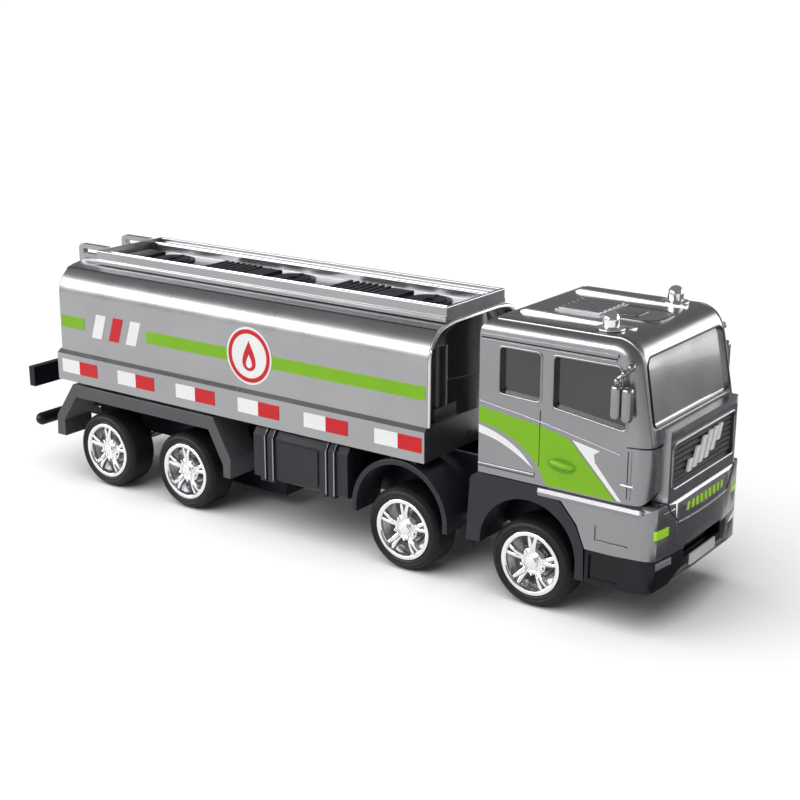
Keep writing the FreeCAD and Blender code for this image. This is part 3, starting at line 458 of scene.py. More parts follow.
def tyre_section():
    """Closed section of a tyre: (place from its inner face outwards, radius)."""
    return rounded([
        (0.0, 11.15, 0.3), (0.0, 13.6, 1.0), (1.6, 15.0, 1.6), (11.2, 15.0, 1.7), (12.6, 13.8, 0.8),
        (12.95, 12.9, 0.25), (12.6, 12.5, 0.2), (12.7, 11.9, 0.4), (12.3, 11.15, 0.3),
    ], 5)


def tread(along, radius, angle):
    """Two fine round grooves and slanted shoulder sipes, cut where the radius is near its largest."""
    near_top = np.clip((radius - 14.55) / 0.35, 0, 1)
    place = np.abs(along)
    rounds = np.exp(-((np.mod(place, 13.0) - 4.4) / 0.28) ** 2) + np.exp(-((place - 8.4) / 0.28) ** 2)
    wave = np.cos(angle * 44 + along * 0.9)
    sipes = np.clip((wave - 0.72) / 0.2, 0, 1) * np.clip((np.abs(place - 6.4) - 2.6) / 0.4, 0, 1)
    return -near_top * (0.16 * rounds + 0.13 * sipes)


SPOKE_PAIRS = 5
SPOKE_SPREAD = math.radians(8.2)


def make_wheel(number, side):
    """One tyre and one rim: lathed sections with bar-shaped spokes between hub and lip."""
    name = "right" if side < 0 else "left"
    middle = wheel_middle(number)
    low, high = box_mm("tyre_%d_%s" % (number, name))
    inner_face = high[1] if side < 0 else low[1]
    centre = np.array([middle[0], inner_face, middle[2]])
    body = "wheelset_%d" % number

    def outward(profile):
        return np.stack([profile[:, 0] * side, profile[:, 1]], -1)

    tyre = Skin("tyre_%d_%s_moulded" % (number, name))
    lathe(tyre, outward(tyre_section()), centre, 264, closed=True, bump=tread)
    tyre.piece(TYRE, body, ["tyre_%d_%s" % (number, name)])

    rim = Skin("rim_%d_%s_plated" % (number, name))
    lip = rounded([
        (0.0, 9.9, 0.2), (0.0, 11.1, 0.2), (12.2, 11.1, 0.3), (12.75, 10.9, 0.3), (12.8, 9.7, 0.35),
        (12.3, 9.3, 0.3), (11.6, 9.1, 0.3), (10.4, 9.9, 0.4),
    ], 4)
    lathe(rim, outward(lip), centre, 96, closed=True)
    hub = rounded([
        (8.0, 0.0, 0), (8.0, 5.2, 0.3), (10.6, 5.0, 0.6), (11.3, 3.9, 0.5), (11.3, 3.2, 0.2),
        (10.9, 3.0, 0.2), (10.9, 2.3, 0.2), (12.0, 2.1, 0.4), (12.2, 0.0, 0),
    ], 4)
    lathe(rim, outward(hub), centre, 60)
    drum = rounded([
        (5.4, 1.2, 0), (5.4, 10.0, 0), (6.2, 10.0, 0.2), (6.2, 6.4, 0.3), (7.4, 6.0, 0.3), (7.4, 1.2, 0),
    ], 3)
    lathe(rim, outward(drum), centre, 60, slot=1, closed=True)
    for bolt in range(SPOKE_PAIRS):
        angle = math.radians(90 + 36) + 2 * math.pi * bolt / SPOKE_PAIRS
        stud = rounded([(10.0, 0.0, 0), (10.0, 0.62, 0), (11.75, 0.55, 0.25), (11.85, 0.0, 0)], 3)
        place = centre + np.array([4.0 * math.cos(angle), 0, 4.0 * math.sin(angle)])
        lathe(rim, outward(stud), place, 12)
    for pair in range(SPOKE_PAIRS):
        for turn in (-1, 1):
            base = math.radians(88) + 2 * math.pi * pair / SPOKE_PAIRS
            rim.tube(spoke(centre, side, base + turn * SPOKE_SPREAD * 0.62, base + turn * SPOKE_SPREAD))
    rim.piece([CHROME, SILVER], body, ["rim_%d_%s" % (number, name)])


def spoke(centre, side, inner_angle, outer_angle):
    """Spoke bar P(s, t): a rounded oblong section, 1.5 mm wide and 2.2 mm deep, carried from the hub at
    radius 3.6 to the lip at radius 9.9; it bows outwards along the axle by sin(pi s)."""
    share = np.linspace(0, 1, 9)[:, None]
    section = rounded([(-0.5, -1.1, 0.2), (0.5, -1.1, 0.2), (0.72, 0.9, 0.45), (-0.72, 0.9, 0.45)], 3)
    radius = 3.6 + share * 6.3
    angle = inner_angle + (outer_angle - inner_angle) * share
    depth = 10.5 + 0.5 * np.sin(math.pi * share) + 0.55 * share
    width = 1.0 + 0.18 * (1 - share)
    across = section[:, 0][None, :] * width
    along = depth + section[:, 1][None, :]
    x = radius * np.cos(angle) - across * np.sin(angle)
    z = radius * np.sin(angle) + across * np.cos(angle)
    return np.stack([x, along * side, z], -1) + centre


# ---------------------------------------------------------------- tank

TANK_LOW, TANK_HIGH = box_mm("tank_shell")
TANK_FOOT = TANK_LOW[2]
TANK_SHOULDER = 12.0


def tank_section(inset):
    """Half-open section of the tank (y, z): sides that lean in slightly, round shoulders and a low crown,
    all moved in by inset."""
    half, top = TANK_HIGH[1] - 0.2 - inset, TANK_HIGH[2] - inset
    radius = TANK_SHOULDER - inset
    corners = [(half + 0.2, TANK_FOOT, 0), (half, 70.0, 60.0), (half, top - 3.6 + 0.26 * inset, radius),
               (17.5 + 0.15 * inset, top, 40.0)]
    far = [(-y, z, r) for y, z, r in corners]
    return rounded(far + corners[::-1], 14)


def make_tank():
    """Hood P(x, s): the section carried along X; at each end it draws in by a quarter-circle rule
    inset = r (1 - cos a) while x advances r sin a, and at the front it turns in to an inner wall."""
    skin = Skin("tank_hood")
    rear_radius, wall = 1.6, 1.5
    rows = []
    for angle in np.linspace(0, math.pi / 2, 6):
        rows.append((TANK_LOW[0] + rear_radius * (1 - math.sin(angle)), rear_radius * (1 - math.cos(angle))))
    rows = rows[::-1]
    for place in np.linspace(TANK_LOW[0] + 6, TANK_HIGH[0] - 6, 22):
        rows.append((place, 0.0))
    lip = [(TANK_HIGH[0] - 2.2, 0.0), (TANK_HIGH[0] - 1.9, -0.0), (TANK_HIGH[0] - 0.25, 0.0),
           (TANK_HIGH[0], 0.3), (TANK_HIGH[0], wall - 0.2), (TANK_HIGH[0] - 0.25, wall),
           (TANK_HIGH[0] - 4.0, wall)]
    rows += lip
    grid = []
    for place, inset in rows:
        section = tank_section(max(inset, 0.0))
        grid.append(np.stack([np.full(len(section), place), section[:, 0], section[:, 1]], -1))
    grid = np.array(grid)
    skin.sheet(grid)
    skin.cap(grid[0])
    item = skin.piece(SILVER, replaces=["tank_shell"])
    return item


def make_tank_rim():
    """Bright bead round the front mouth: a small circle carried along the tank's section."""
    skin = Skin("tank_front_bead")
    section = tank_section(0.75)
    path = np.stack([np.full(len(section), TANK_HIGH[0] + 0.05), section[:, 0], section[:, 1]], -1)
    pipe(skin, path, 0.62, 10)
    skin.piece(BRIGHT)


# ---------------------------------------------------------------- printed decoration

SIDE_BAND = (62.6, 67.4)


def tank_side(side, z, lift=0.1):
    """Y of the tank's side at a height, plus the ink's thickness."""
    lean = np.clip((np.asarray(z, float) - TANK_FOOT) / (70.0 - TANK_FOOT), 0, 1)
    return side * (TANK_HIGH[1] - 0.2 * lean + lift)


def printed(name, side, outline, surface, material, lift=0.1):
    """Ink patch on a side: an outline (x, z) with its face lift above the surface y(z)."""
    skin = Skin(name)
    outer = np.stack([outline[:, 0], surface(side, outline[:, 1], lift), outline[:, 1]], -1)
    inner = np.stack([outline[:, 0], surface(side, outline[:, 1], -0.25), outline[:, 1]], -1)
    skin.tube(np.array([inner, outer]))
    skin.piece(material)


AXLE_X = wheel_middle(1)[0]


def ahead(distance):
    return AXLE_X + distance


def make_tank_prints(side):
    name = "right" if side < 0 else "left"
    low, high = SIDE_BAND
    spans = [(ahead(-219.8), ahead(-206.5)), (ahead(-172.6), ahead(-42.6))]
    for number, (start, end) in enumerate(spans, start=1):
        outline = rounded([(start, low, 0.4), (end, low, 0.4), (end, high, 0.4), (start, high, 0.4)], 3)
        printed("tank_band_%d_%s" % (number, name), side, outline, tank_side, LIME)
    for number in range(3):
        x = ahead(-202.5 + number * 9.4)
        bar = np.array([(x, low - 2.2), (x + 5.4, low - 2.2), (x + 8.4, high + 2.6), (x + 3.0, high + 2.6)])
        shade = RED if number == 1 else WHITE
        printed("tank_slant_%d_%s" % (number + 1, name), side, bar, tank_side, shade)
    make_emblem(side, name)


def ring_points(x, z, radius, count=72):
    angle = np.linspace(0, 2 * math.pi, count, endpoint=False)
    return np.stack([x + radius * np.cos(angle), z + radius * np.sin(angle)], -1)


def drop(x, z, height, width):
    """Drop outline: x = w sin(t) sin(t / 2)^1.6, z = -h cos(t) / 2, from its round foot to its tip."""
    t = np.linspace(0, 2 * math.pi, 56, endpoint=False)
    wide = np.sin(t) * np.abs(np.sin(t / 2)) ** 1.6
    return np.stack([x + width * wide, z + height / 2 * np.cos(t)], -1)


EMBLEM = (ahead(-120.3), 65.8)


def make_emblem(side, name):
    """White disc, red ring and a plain red drop with a white heart."""
    x, z = EMBLEM
    printed("emblem_disc_" + name, side, ring_points(x, z, 10.7), tank_side, WHITE, 0.16)
    skin = Skin("emblem_ring_" + name)
    outer, inner = ring_points(x, z, 9.9), ring_points(x, z, 8.3)
    loops = [np.stack([loop[:, 0], tank_side(side, loop[:, 1], lift), loop[:, 1]], -1)
             for loop, lift in ((outer, 0.0), (outer, 0.22), (inner, 0.22), (inner, 0.0))]
    skin.sheet(np.array(loops), wrap_rows=True, wrap_columns=True)
    skin.piece(RED)
    printed("emblem_drop_" + name, side, drop(x, z + 0.2, 11.6, 4.6), tank_side, RED, 0.22)
    printed("emblem_heart_" + name, side, drop(x, z - 1.9, 5.2, 2.0), tank_side, WHITE, 0.27)


DECK_LOW, DECK_HIGH = box_mm("tank_deck")
REFLECTOR_PAIRS = 6
REFLECTOR_PITCH = 31.2
REFLECTOR_WIDE = 9.85
REFLECTOR_Z = (44.5, 49.9)


def deck_side(side, z, lift=0.1):
    return side * (DECK_HIGH[1] + lift) + 0 * np.asarray(z, float)


def make_reflectors(side):
    name = "right" if side < 0 else "left"
    low, high = REFLECTOR_Z
    for number in range(REFLECTOR_PAIRS):
        for step, shade in enumerate((WHITE, RED)):
            start = ahead(-218.5) + REFLECTOR_PITCH * number + REFLECTOR_WIDE * step
            end = start + REFLECTOR_WIDE
            corners = [(start, low, 0.25), (end, low, 0.25), (end, high, 0.25), (start, high, 0.25)]
            outline = rounded(corners, 2)
            label = "reflector_%s_%d_%s" % ("white" if shade is WHITE else "red", number + 1, name)
            printed(label, side, outline, deck_side, shade, 0.14)


CAB_LOW, CAB_HIGH = box_mm("cab_shell")


def cab_side(side, z, lift=0.1):
    return side * (CAB_HIGH[1] + lift) + 0 * np.asarray(z, float)


def smooth_curve(points, count=24):
    """Catmull-Rom curve through a few points."""
    points = np.array(points, float)
    padded = np.vstack([2 * points[0] - points[1], points, 2 * points[-1] - points[-2]])
    place = np.linspace(0, len(points) - 1, count)
    index = np.minimum(place.astype(int), len(points) - 2)
    t = (place - index)[:, None]
    a, b, c, d = (padded[index + step] for step in range(4))
    second = (2 * a - 5 * b + 4 * c - d) * t ** 2
    third = (3 * b - a - 3 * c + d) * t ** 3
    return 0.5 * (2 * b + (c - a) * t + second + third)


def make_door_graphics(side):
    """Lime swoosh with a white crescent under it and a white dart ahead of it."""
    name = "right" if side < 0 else "left"
    lower = smooth_curve([(-20.1, 60.4), (-12.1, 58.6), (-4.5, 55.2), (1.4, 50.2), (5.5, 43.6)])
    upper = [(30.0, 43.6), (13.2, 60.6), (2.6, 62.9), (-20.1, 65.4)]
    swoosh = np.vstack([lower, upper]) + [AXLE_X, 0]
    printed("door_swoosh_" + name, side, swoosh, cab_side, LIME, 0.1)
    top = smooth_curve([(-20.1, 59.3), (-12.4, 57.2), (-5.0, 53.4), (0.6, 48.2)])
    bottom = smooth_curve([(0.6, 48.2), (-6.0, 52.0), (-13.0, 55.0), (-20.1, 56.6)])
    printed("door_crescent_" + name, side, np.vstack([top, bottom[1:]]) + [AXLE_X, 0], cab_side, WHITE,
            0.1)
    dart = np.array([(14.4, 60.4), (24.2, 58.6), (22.2, 57.2), (22.6, 54.6), (32.2, 43.7), (30.7, 43.7)])
    printed("door_dart_" + name, side, dart + [AXLE_X, 0], cab_side, WHITE, 0.1)


# ---------------------------------------------------------------- cab, roof, tool box and tank end details

ROOF = 95.2
ROOF_ROUND = 9.5
SCREEN_LEAN = math.radians(10.7)
ARC_X = 27.5


def screen_x(z, lift=0.0):
    """Distance ahead of the front axle of the cab's front at a height: an upright column, a leaning
    screen and the quarter round that turns it into the roof."""
    z = np.asarray(z, float)
    lean = 41.7 - (z - 61.9) * math.tan(SCREEN_LEAN)
    curve = ARC_X + np.sqrt(np.clip(ROOF_ROUND ** 2 - (z - (ROOF - ROOF_ROUND)) ** 2, 0, None))
    return np.where(z > 87.5, curve, np.minimum(lean, 41.7)) + lift


def to_world(points):
    """Points stated ahead of the front axle, put in their place."""
    return np.array(points, float) + [AXLE_X, 0, 0]


def bead(name, path, radius, material, count=0):
    skin = Skin(name)
    path = smooth_curve(path, count) if count else path
    pipe(skin, to_world(path), radius, 10)
    skin.piece(material)


def plaque(name, corners, low, high, material, axis="y", edge=0.15):
    """Raised patch with a rounded outline; corners are (u, v, r)."""
    skin = Skin(name)
    outline = rounded(corners, 4)
    shift = {"y": (AXLE_X, 0), "z": (AXLE_X, 0), "x": (0, 0)}[axis]
    slab(skin, outline + shift, low, high, axis, edge)
    skin.piece(material)


def ring(name, outline, width, height, surface, material, slot="silver"):
    """Raised frame round an opening: its section runs up from the surface at the outer edge, over a
    rounded top and down at the inner edge.  surface(loop, lift) gives places."""
    skin = Skin(name)
    loops = []
    for angle in np.linspace(0, math.pi, 7):
        loop = shrink(outline, -width / 2 - width / 2 * math.cos(angle))
        loops.append(surface(loop, height * math.sin(angle)))
    loops.append(surface(shrink(outline, -width / 2), -0.3))
    skin.sheet(np.array(loops), wrap_rows=True, wrap_columns=True)
    skin.piece(material)


SIDE = 31.1
WINDOWS = {
    "rear": [(-12.5, 71.3, 1.2), (-12.5, 86.2, 1.2), (2.3, 86.2, 1.2), (2.3, 70.6, 1.2)],
    "front": [(7.2, 70.0, 1.2), (7.2, 86.2, 1.2), (30.0, 86.2, 1.2), (32.8, 66.6, 1.2)],
}


def make_cab_side(side):
    """Gutters, window frames, belt crease, seams, joint lines, rocker ridge and door handle."""
    name = "right" if side < 0 else "left"

    def flank(loop, lift):
        return np.stack([loop[:, 0] + AXLE_X, np.full(len(loop), side * (SIDE + lift)), loop[:, 1]], -1)

    def strip(label, x_range, z_range, height, material, radius=0.25, rise=0.0):
        (x0, x1), (z0, z1) = x_range, z_range
        corners = [(x0, z0, radius), (x1, z0 + rise, radius), (x1, z1 + rise, radius), (x0, z1, radius)]
        plaque(label + "_" + name, corners, side * (SIDE - 0.2), side * (SIDE + height), material,
               edge=min(0.2, height * 0.6))

    for label, corners in WINDOWS.items():
        ring("window_frame_%s_%s" % (label, name), rounded(corners, 4), 0.8, 0.3, flank, SHADED_CAB_SILVER)
    strip("gutter_upper", (-19.6, 29.4), (88.9, 90.2), 0.55, SHADED_CAB_SILVER, 0.5)
    strip("gutter_lower", (-19.6, 28.8), (87.5, 88.2), 0.25, SHADED_CAB_SILVER)
    strip("gutter_shadow", (-19.6, 29.0), (88.35, 88.75), 0.06, BLACK, 0.15)
    strip("door_seam", (2.5, 2.8), (49.3, 68.0), 0.13, BLACK, 0.1)
    strip("column_seam", (33.7, 34.0), (45.0, 60.4), 0.08, BLACK, 0.1)
    strip("column_edge", (34.3, 35.1), (45.0, 60.6), 0.22, SHADED_CAB_SILVER)
    strip("column_clip", (31.6, 36.2), (49.0, 49.6), 0.35, BRIGHT)
    strip("rocker_shadow", (-19.9, 1.2), (45.2, 45.5), 0.06, BLACK, 0.1)
    strip("bumper_seam", (34.0, 34.25), (39.4, 42.6), 0.06, BLACK, 0.1)
    strip("bumper_panel_edge", (23.6, 34.6), (28.7, 29.1), 0.12, SHADED_CAB_SILVER, 0.15)
    crease = [(x, side * SIDE, z) for x, z in ((-20.1, 67.4), (2.6, 64.2), (31.2, 58.8))]
    bead("belt_crease_" + name, crease, 0.22, SHADED_CAB_SILVER, count=12)
    bead("rocker_ridge_" + name, [(x, side * SIDE, 46.3) for x in (-20.0, -8.0, 1.0)], 0.55, SHADED_CAB_SILVER)
    turn = np.linspace(0, math.pi / 2, 8)
    corner = [(36.7 + 5.0 * math.sin(a), side * (26.1 + 5.0 * math.cos(a)), 61.9) for a in turn]
    joint = [(33.4, side * SIDE, 61.6)] + corner + [(41.7, side * 24.8, 61.9)]
    bead("column_joint_" + name, joint, 0.22, BLACK)
    turn_low = [(37.4 + 5.2 * math.sin(a), side * (24.3 + 5.2 * math.cos(a)), 40.9) for a in turn]
    shoulder = [(2.6, side * 29.5, 40.9), (14.0, side * 29.5, 40.9)] + turn_low + [(43.3, side * 20.0, 40.9)]
    bead("bumper_shoulder_" + name, shoulder, 2.15, SHADED_CAB_SILVER)
    roof_line = [(x, side * 28.4, 94.6) for x in (-15.0, 0.0, 14.0, 26.0)]
    arc = [(ARC_X + 8.95 * math.sin(a), side * 28.4, 85.7 + 8.95 * math.cos(a))
           for a in np.linspace(0.1, 1.38, 8)]
    pillar = [(float(screen_x(z)) - 0.5, side * 28.5, z) for z in (84.0, 78.0, 72.0, 66.0, 63.0)]
    bead("roof_ridge_" + name, roof_line + arc + pillar, 0.42, SHADED_CAB_SILVER, count=60)
    centre = to_world([11.0, side * (SIDE + 0.1), 51.3])
    # Darker lime patch round the grip: painted shade standing for the handle's recess.
    dish = Skin("handle_dish_" + name)
    angle = np.linspace(0, 2 * math.pi, 40, endpoint=False)
    outline = np.stack([centre[0] + 5.2 * np.cos(angle), centre[2] + 2.4 * np.sin(angle)], -1)
    slab(dish, outline, side * (SIDE + 0.05), side * (SIDE + 0.22), "y", 0.1)
    dish.piece(LIME_RECESS_SHADE)
    grip = Skin("door_handle_" + name)
    share = np.linspace(-1, 1, 17)
    path = np.stack([centre[0] + 4.4 * share, centre[1] + side * 0.5 * (1 - share ** 2),
                     centre[2] + 0.2 - 0.5 * share], -1)
    pipe(grip, path, 0.35 + 0.75 * np.sqrt(np.clip(1 - share ** 2, 0, 1)), 14)
    grip.piece(LIME)


def front_face(loop, lift):
    """Places on the nose's flat face from (y, z)."""
    return np.stack([np.full(len(loop), AXLE_X + 44.75 + lift), loop[:, 0], loop[:, 1]], -1)


BADGE_BARS = [(-12.5, 50.8, 54.6), (-8.6, 51.2, 57.4), (-4.6, 51.6, 59.6),
              (-0.4, 52.0, 60.4), (4.0, 53.4, 60.6), (8.2, 55.6, 60.8)]
BUMPER_CURVE = [(44.95, 24.2, 43.7), (45.0, 23.4, 41.6), (45.3, 20.2, 38.6), (45.5, 18.2, 36.4)]
BUMPER_NOSE = 46.4


def bumper_x(y, z):
    """Distance ahead of the front axle of the bumper's face: bowed by y^2 / 360, and leaning back above
    a height of 38."""
    bow = BUMPER_NOSE - np.square(y) / 360
    lean = BUMPER_NOSE - np.clip(np.asarray(z, float) - 38, 0, 9) * 0.207
    return np.minimum(bow, lean)


def make_front():
    """Windscreen pane and gasket, grille frame, badge bars and the front bumper's seams."""
    def screen(loop, lift):
        return np.stack([AXLE_X + screen_x(loop[:, 1], lift), loop[:, 0], loop[:, 1]], -1)

    opening = rounded([(-27.2, 68.2, 1.6), (-26.6, 88.8, 2.6), (26.6, 88.8, 2.6), (27.2, 68.2, 1.6)], 6)
    ring("screen_gasket", opening, 0.7, 0.2, screen, BLACK)
    pane = Skin("windscreen_pane")
    levels = np.linspace(67.9, 89.1, 16)
    across = np.linspace(-27.4, 27.4, 12)
    grid = np.array([[(AXLE_X + float(screen_x(z)) - 1.0, y, z) for y in across] for z in levels])
    pane.sheet(grid)
    pane.sheet(grid - [0.5, 0, 0])
    pane.piece(SCREEN_PANE)
    grille = rounded([(-22.4, 48.0, 1.4), (-22.4, 62.0, 1.4), (22.4, 62.0, 1.4), (22.4, 48.0, 1.4)], 5)
    ring("grille_frame", grille, 0.9, 0.45, front_face, SHADED_CAB_SILVER)
    for number, (y, low, high) in enumerate(BADGE_BARS):
        run = (high - low) * 0.45
        corners = [(y, low, 0.3), (y + 2.4, low, 0.3), (y + 2.4 + run, high, 0.3), (y + run, high, 0.3)]
        label = "badge_bar_%d" % (number + 1)
        plaque(label, corners, AXLE_X + 44.2, AXLE_X + 45.3, WHITE, "x", 0.25)
    for number in range(9):
        y = -13.4 + 3.1 * number
        corners = [(y, 38.6, 0.2), (y + 1.7, 38.6, 0.2), (y + 2.6, 41.0, 0.2), (y + 0.9, 41.0, 0.2)]
        skin = Skin("bumper_dash_%d" % (number + 1))
        outline = rounded(corners, 2)
        lean = AXLE_X + bumper_x(outline[:, 0], outline[:, 1])
        loops = [np.stack([lean + lift, outline[:, 0], outline[:, 1]], -1) for lift in (-0.3, 0.14)]
        skin.tube(np.array(loops))
        skin.piece(LIME_LAMP)
    for side in (-1, 1):
        name = "right" if side < 0 else "left"
        seam = smooth_curve(BUMPER_CURVE, 16)
        seam[:, 0] = bumper_x(seam[:, 1], seam[:, 2])
        bead("bumper_curve_" + name, seam * [1, side, 1], 0.22, BLACK)
    across = np.linspace(-18.2, 18.2, 24)
    line = np.stack([bumper_x(across, 36.0), across, np.full(24, 36.0)], -1)
    bead("bumper_line", line, 0.3, SHADED_CAB_SILVER)
    bead("bumper_line_shadow", line - [0, 0, 0.55], 0.22, BLACK)


def make_beacons():
    """Two lathed lamps: P = base flange, short drum and half-round dome."""
    skin = Skin("roof_beacons_plated")
    profile = rounded([(ROOF, 0.0, 0), (ROOF, 4.6, 0.3), (95.9, 4.6, 0.3), (96.1, 3.2, 0.3),
                       (96.2, 2.6, 0.2), (98.3, 2.7, 0)], 6)
    rise = np.linspace(0.1, math.pi / 2, 12)
    dome = [(98.3 + 2.7 * math.sin(angle), 2.7 * math.cos(angle)) for angle in rise]
    profile = np.concatenate([profile, dome])
    for side in (-1, 1):
        lathe(skin, profile, to_world([21.6, side * 22.4, 0]), 40, "z")
    skin.piece(CHROME, replaces=["roof_beacons"])


def make_mirror(side):
    """Two upright lobes side by side on a knuckled arm."""
    name = "right" if side < 0 else "left"
    skin = Skin("mirror_%s_housing" % name)
    for start, low, high in ((29.2, 71.2, 82.2), (32.9, 70.7, 81.8)):
        corners = [(start, low, 1.5), (start + 3.5, low, 1.5), (start + 3.5, high, 1.5), (start, high, 1.5)]
        slab(skin, rounded(corners, 5) + (AXLE_X, 0), side * 33.3, side * 36.5, "y", 1.2)
    plate_corners = [(29.6, 72.6, 0.8), (34.4, 72.2, 0.8), (34.4, 80.8, 0.8), (29.6, 81.2, 0.8)]
    slab(skin, rounded(plate_corners, 4) + (AXLE_X, 0), side * 33.1, side * 34.6, "y", 0.3)
    arm = smooth_curve([(31.4, 34.8, 81.4), (31.0, 35.0, 83.4), (32.6, 34.4, 85.2), (34.4, 33.0, 87.0),
                        (34.0, 30.2, 88.0)], 24)
    pipe(skin, to_world(arm * [1, side, 1]), 0.75, 12)
    for x, y, z, radius in ((31.1, 35.0, 83.2, 1.25), (32.9, 34.2, 85.6, 1.15), (34.3, 32.6, 87.3, 1.3)):
        knob = np.array([(radius * math.cos(a), radius * math.sin(a)) for a in np.linspace(0, math.pi, 9)])
        lathe(skin, knob, to_world([x, side * y, z]), 16, "z")
    skin.piece(SHADED_CAB_SILVER, replaces=["mirror_" + name])


def make_roof():
    """Hatch seams and an inner panel."""
    def flat(loop, lift):
        return np.stack([loop[:, 0] + AXLE_X, loop[:, 1], np.full(len(loop), 95.5 + lift)], -1)

    hatch = rounded([(12.2, -8.0, 1.0), (29.2, -7.6, 5.0), (29.2, 7.6, 5.0), (12.2, 8.0, 1.0)], 6)
    ring("hatch_seam", hatch, 0.5, 0.12, flat, BLACK)
    inner = [(14.6, -4.6, 1.0), (21.6, -4.4, 1.0), (21.6, 4.4, 1.0), (14.6, 4.6, 1.0)]
    ring("hatch_panel_seam", rounded(inner, 4), 0.45, 0.12, flat, BLACK)
    plaque("hatch_panel", [(x, y, 1.0) for x, y, _ in inner], 95.4, 95.75, SHADED_CAB_SILVER, "z", 0.2)


def make_strap_highlights(side):
    """Silver beads along the edges of the tool box's four straps: painted highlights."""
    name = "right" if side < 0 else "left"
    for number, x in enumerate((-112.4, -108.7, -84.1, -80.5)):
        path = [(x, side * 31.05, 21.0), (x, side * 31.05, 37.2), (x, side * 29.2, 39.6)]
        bead("strap_line_%s_%d" % (name, number + 1), path, 0.24, SILVER)


def make_tank_end():
    """Front end of the tank: a ribbed flat border, a broad upright half round with steps, and a sill.
    P(y, z): x = face + 3.5 - (30 - sqrt(900 - y^2)) inside |y| < 14, and face + 0.25 |cos(pi y / 1.3)|
    outside; below z = 66 the half round stands 0.4 further out."""
    skin = Skin("tank_end_moulding")
    face = TANK_HIGH[0] - 3.0
    border = np.linspace(14.1, 27.4, 83)
    across = np.concatenate([np.linspace(-27.4, -14.1, 83), np.linspace(-14.0, 14.0, 41), border])
    levels = np.array([53.3, 58.0, 62.0, 65.8, 66.0, 66.3, 70.0, 76.0, 82.0, 86.6])
    y, z = np.meshgrid(across, levels)
    half = np.interp(z, [53, 75.2, 80, 84, 87], [27.4, 27.4, 26.2, 22.6, 15.0])
    y = y * half / 27.4
    bulge = 3.5 - (30 - np.sqrt(np.clip(900 - y ** 2, 0, None))) + 0.4 * (z < 66.1)
    ribs = 0.25 * np.abs(np.cos(math.pi * y / 1.3))
    x = face + np.where(np.abs(y) < 14.05, bulge, ribs)
    skin.sheet(np.stack([x, y, z], -1))
    skin.sheet(np.stack([x * 0 + face - 1.0, y, z], -1))
    # The dark lacquer on this moulding is painted shade on the tank's silver front.
    skin.piece(SHADED_TANK_FRONT_LACQUER)


# ---------------------------------------------------------------- camera, light and floor

CAMERA_YAW, CAMERA_PITCH = math.radians(35.88), math.radians(16.70)
CAMERA_DISTANCE = 539.76
CAMERA_LENS = 66.94


def make_camera():
    target = np.array([ahead(-75.05), 0.0, 50.76])
    back = np.array([math.sin(CAMERA_YAW) * math.cos(CAMERA_PITCH),
                     -math.cos(CAMERA_YAW) * math.cos(CAMERA_PITCH), math.sin(CAMERA_PITCH)])
    data = bpy.data.cameras.new("camera")
    data.lens = CAMERA_LENS
    data.sensor_width = 36
    data.shift_x, data.shift_y = 0.00256, -0.00245
    data.clip_start, data.clip_end = 0.01, 100
    camera = bpy.data.objects.new("camera", data)
    camera.location = Vector((target + back * CAMERA_DISTANCE) * MM)
    camera.rotation_euler = Vector(-back).to_track_quat("-Z", "Y").to_euler()
    bpy.context.scene.collection.objects.link(camera)
    bpy.context.scene.camera = camera


def softbox(name, place, aim, size_x, size_y, power, shade=(1, 1, 1)):
    data = bpy.data.lights.new(name, "AREA")
    data.shape = "RECTANGLE"
    data.size, data.size_y = size_x, size_y
    data.energy = power
    data.color = shade
    lamp = bpy.data.objects.new(name, data)
    lamp.location = Vector(place)
    lamp.rotation_euler = (Vector(aim) - Vector(place)).to_track_quat("-Z", "Y").to_euler()
    lamp.visible_diffuse = False
    bpy.context.scene.collection.objects.link(lamp)


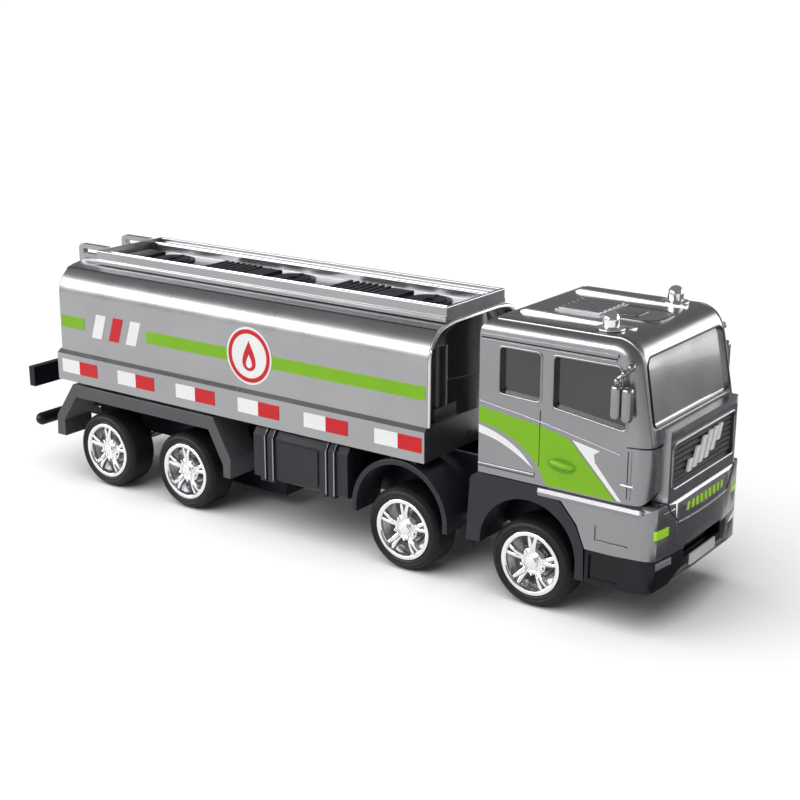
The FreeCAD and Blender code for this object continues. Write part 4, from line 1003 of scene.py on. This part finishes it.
def make_studio():
    """Pale floor under one wide sky lamp that reflections leave out, two softboxes that show only in
    reflections, and a dark card on the floor ahead of the truck that shows only in reflections."""
    world = bpy.data.worlds.new("studio")
    world.use_nodes = True
    world.node_tree.nodes["Background"].inputs["Color"].default_value = (0.98, 0.98, 1.0, 1)
    world.node_tree.nodes["Background"].inputs["Strength"].default_value = 0.24
    bpy.context.scene.world = world
    bpy.context.scene.view_settings.view_transform = "Standard"
    data = bpy.data.lights.new("sky_lamp", "SUN")
    data.energy = 3.3
    data.angle = math.radians(84)
    lamp = bpy.data.objects.new("sky_lamp", data)
    lamp.rotation_euler = Vector((0.2, 0.36, -0.9)).to_track_quat("-Z", "Y").to_euler()
    lamp.visible_glossy = False
    bpy.context.scene.collection.objects.link(lamp)
    softbox("key_softbox", (-1.5, -1.9, 1.05), (-0.05, 0, 0.06), 3.4, 0.7, 80)
    softbox("front_card", (1.3, 1.5, 0.5), (0.12, 0, 0.07), 1.9, 0.8, 24)
    flag = bpy.data.meshes.new("front_flag")
    flag.from_pydata([(0.15, -0.06, 0.002), (0.8, -0.06, 0.002), (0.8, 0.75, 0.002), (0.15, 0.75, 0.002)], [],
                     [(0, 1, 2, 3)])
    shade = Graph("flag_cloth", Roughness=0.9, Specular_IOR_Level=0.1)
    shade.shader.inputs["Base Color"].default_value = (0.12, 0.12, 0.13, 1)
    flag.materials.append(shade.material)
    card = bpy.data.objects.new("front_flag", flag)
    card.visible_camera = card.visible_shadow = card.visible_diffuse = False
    bpy.context.scene.collection.objects.link(card)
    mesh = bpy.data.meshes.new("floor")
    reach = 20.0
    mesh.from_pydata([(-reach, -reach, 0), (reach, -reach, 0), (reach, reach, 0), (-reach, reach, 0)], [],
                     [(0, 1, 2, 3)])
    floor = bpy.data.objects.new("floor", mesh)
    bpy.context.scene.collection.objects.link(floor)
    graph = Graph("floor_paper", Roughness=0.75, Specular_IOR_Level=0.2)
    graph.shader.inputs["Base Color"].default_value = (0.92, 0.92, 0.92, 1)
    mesh.materials.append(graph.material)


make_camera()
make_studio()
finish_cad_nodes()
for wheelset in range(1, 5):
    for hand in (-1, 1):
        make_wheel(wheelset, hand)
make_tank()
make_tank_rim()
for hand in (-1, 1):
    make_tank_prints(hand)
    make_reflectors(hand)
    make_door_graphics(hand)
    make_cab_side(hand)
    make_mirror(hand)
    make_strap_highlights(hand)
make_front()
make_beacons()
make_roof()
make_tank_end()
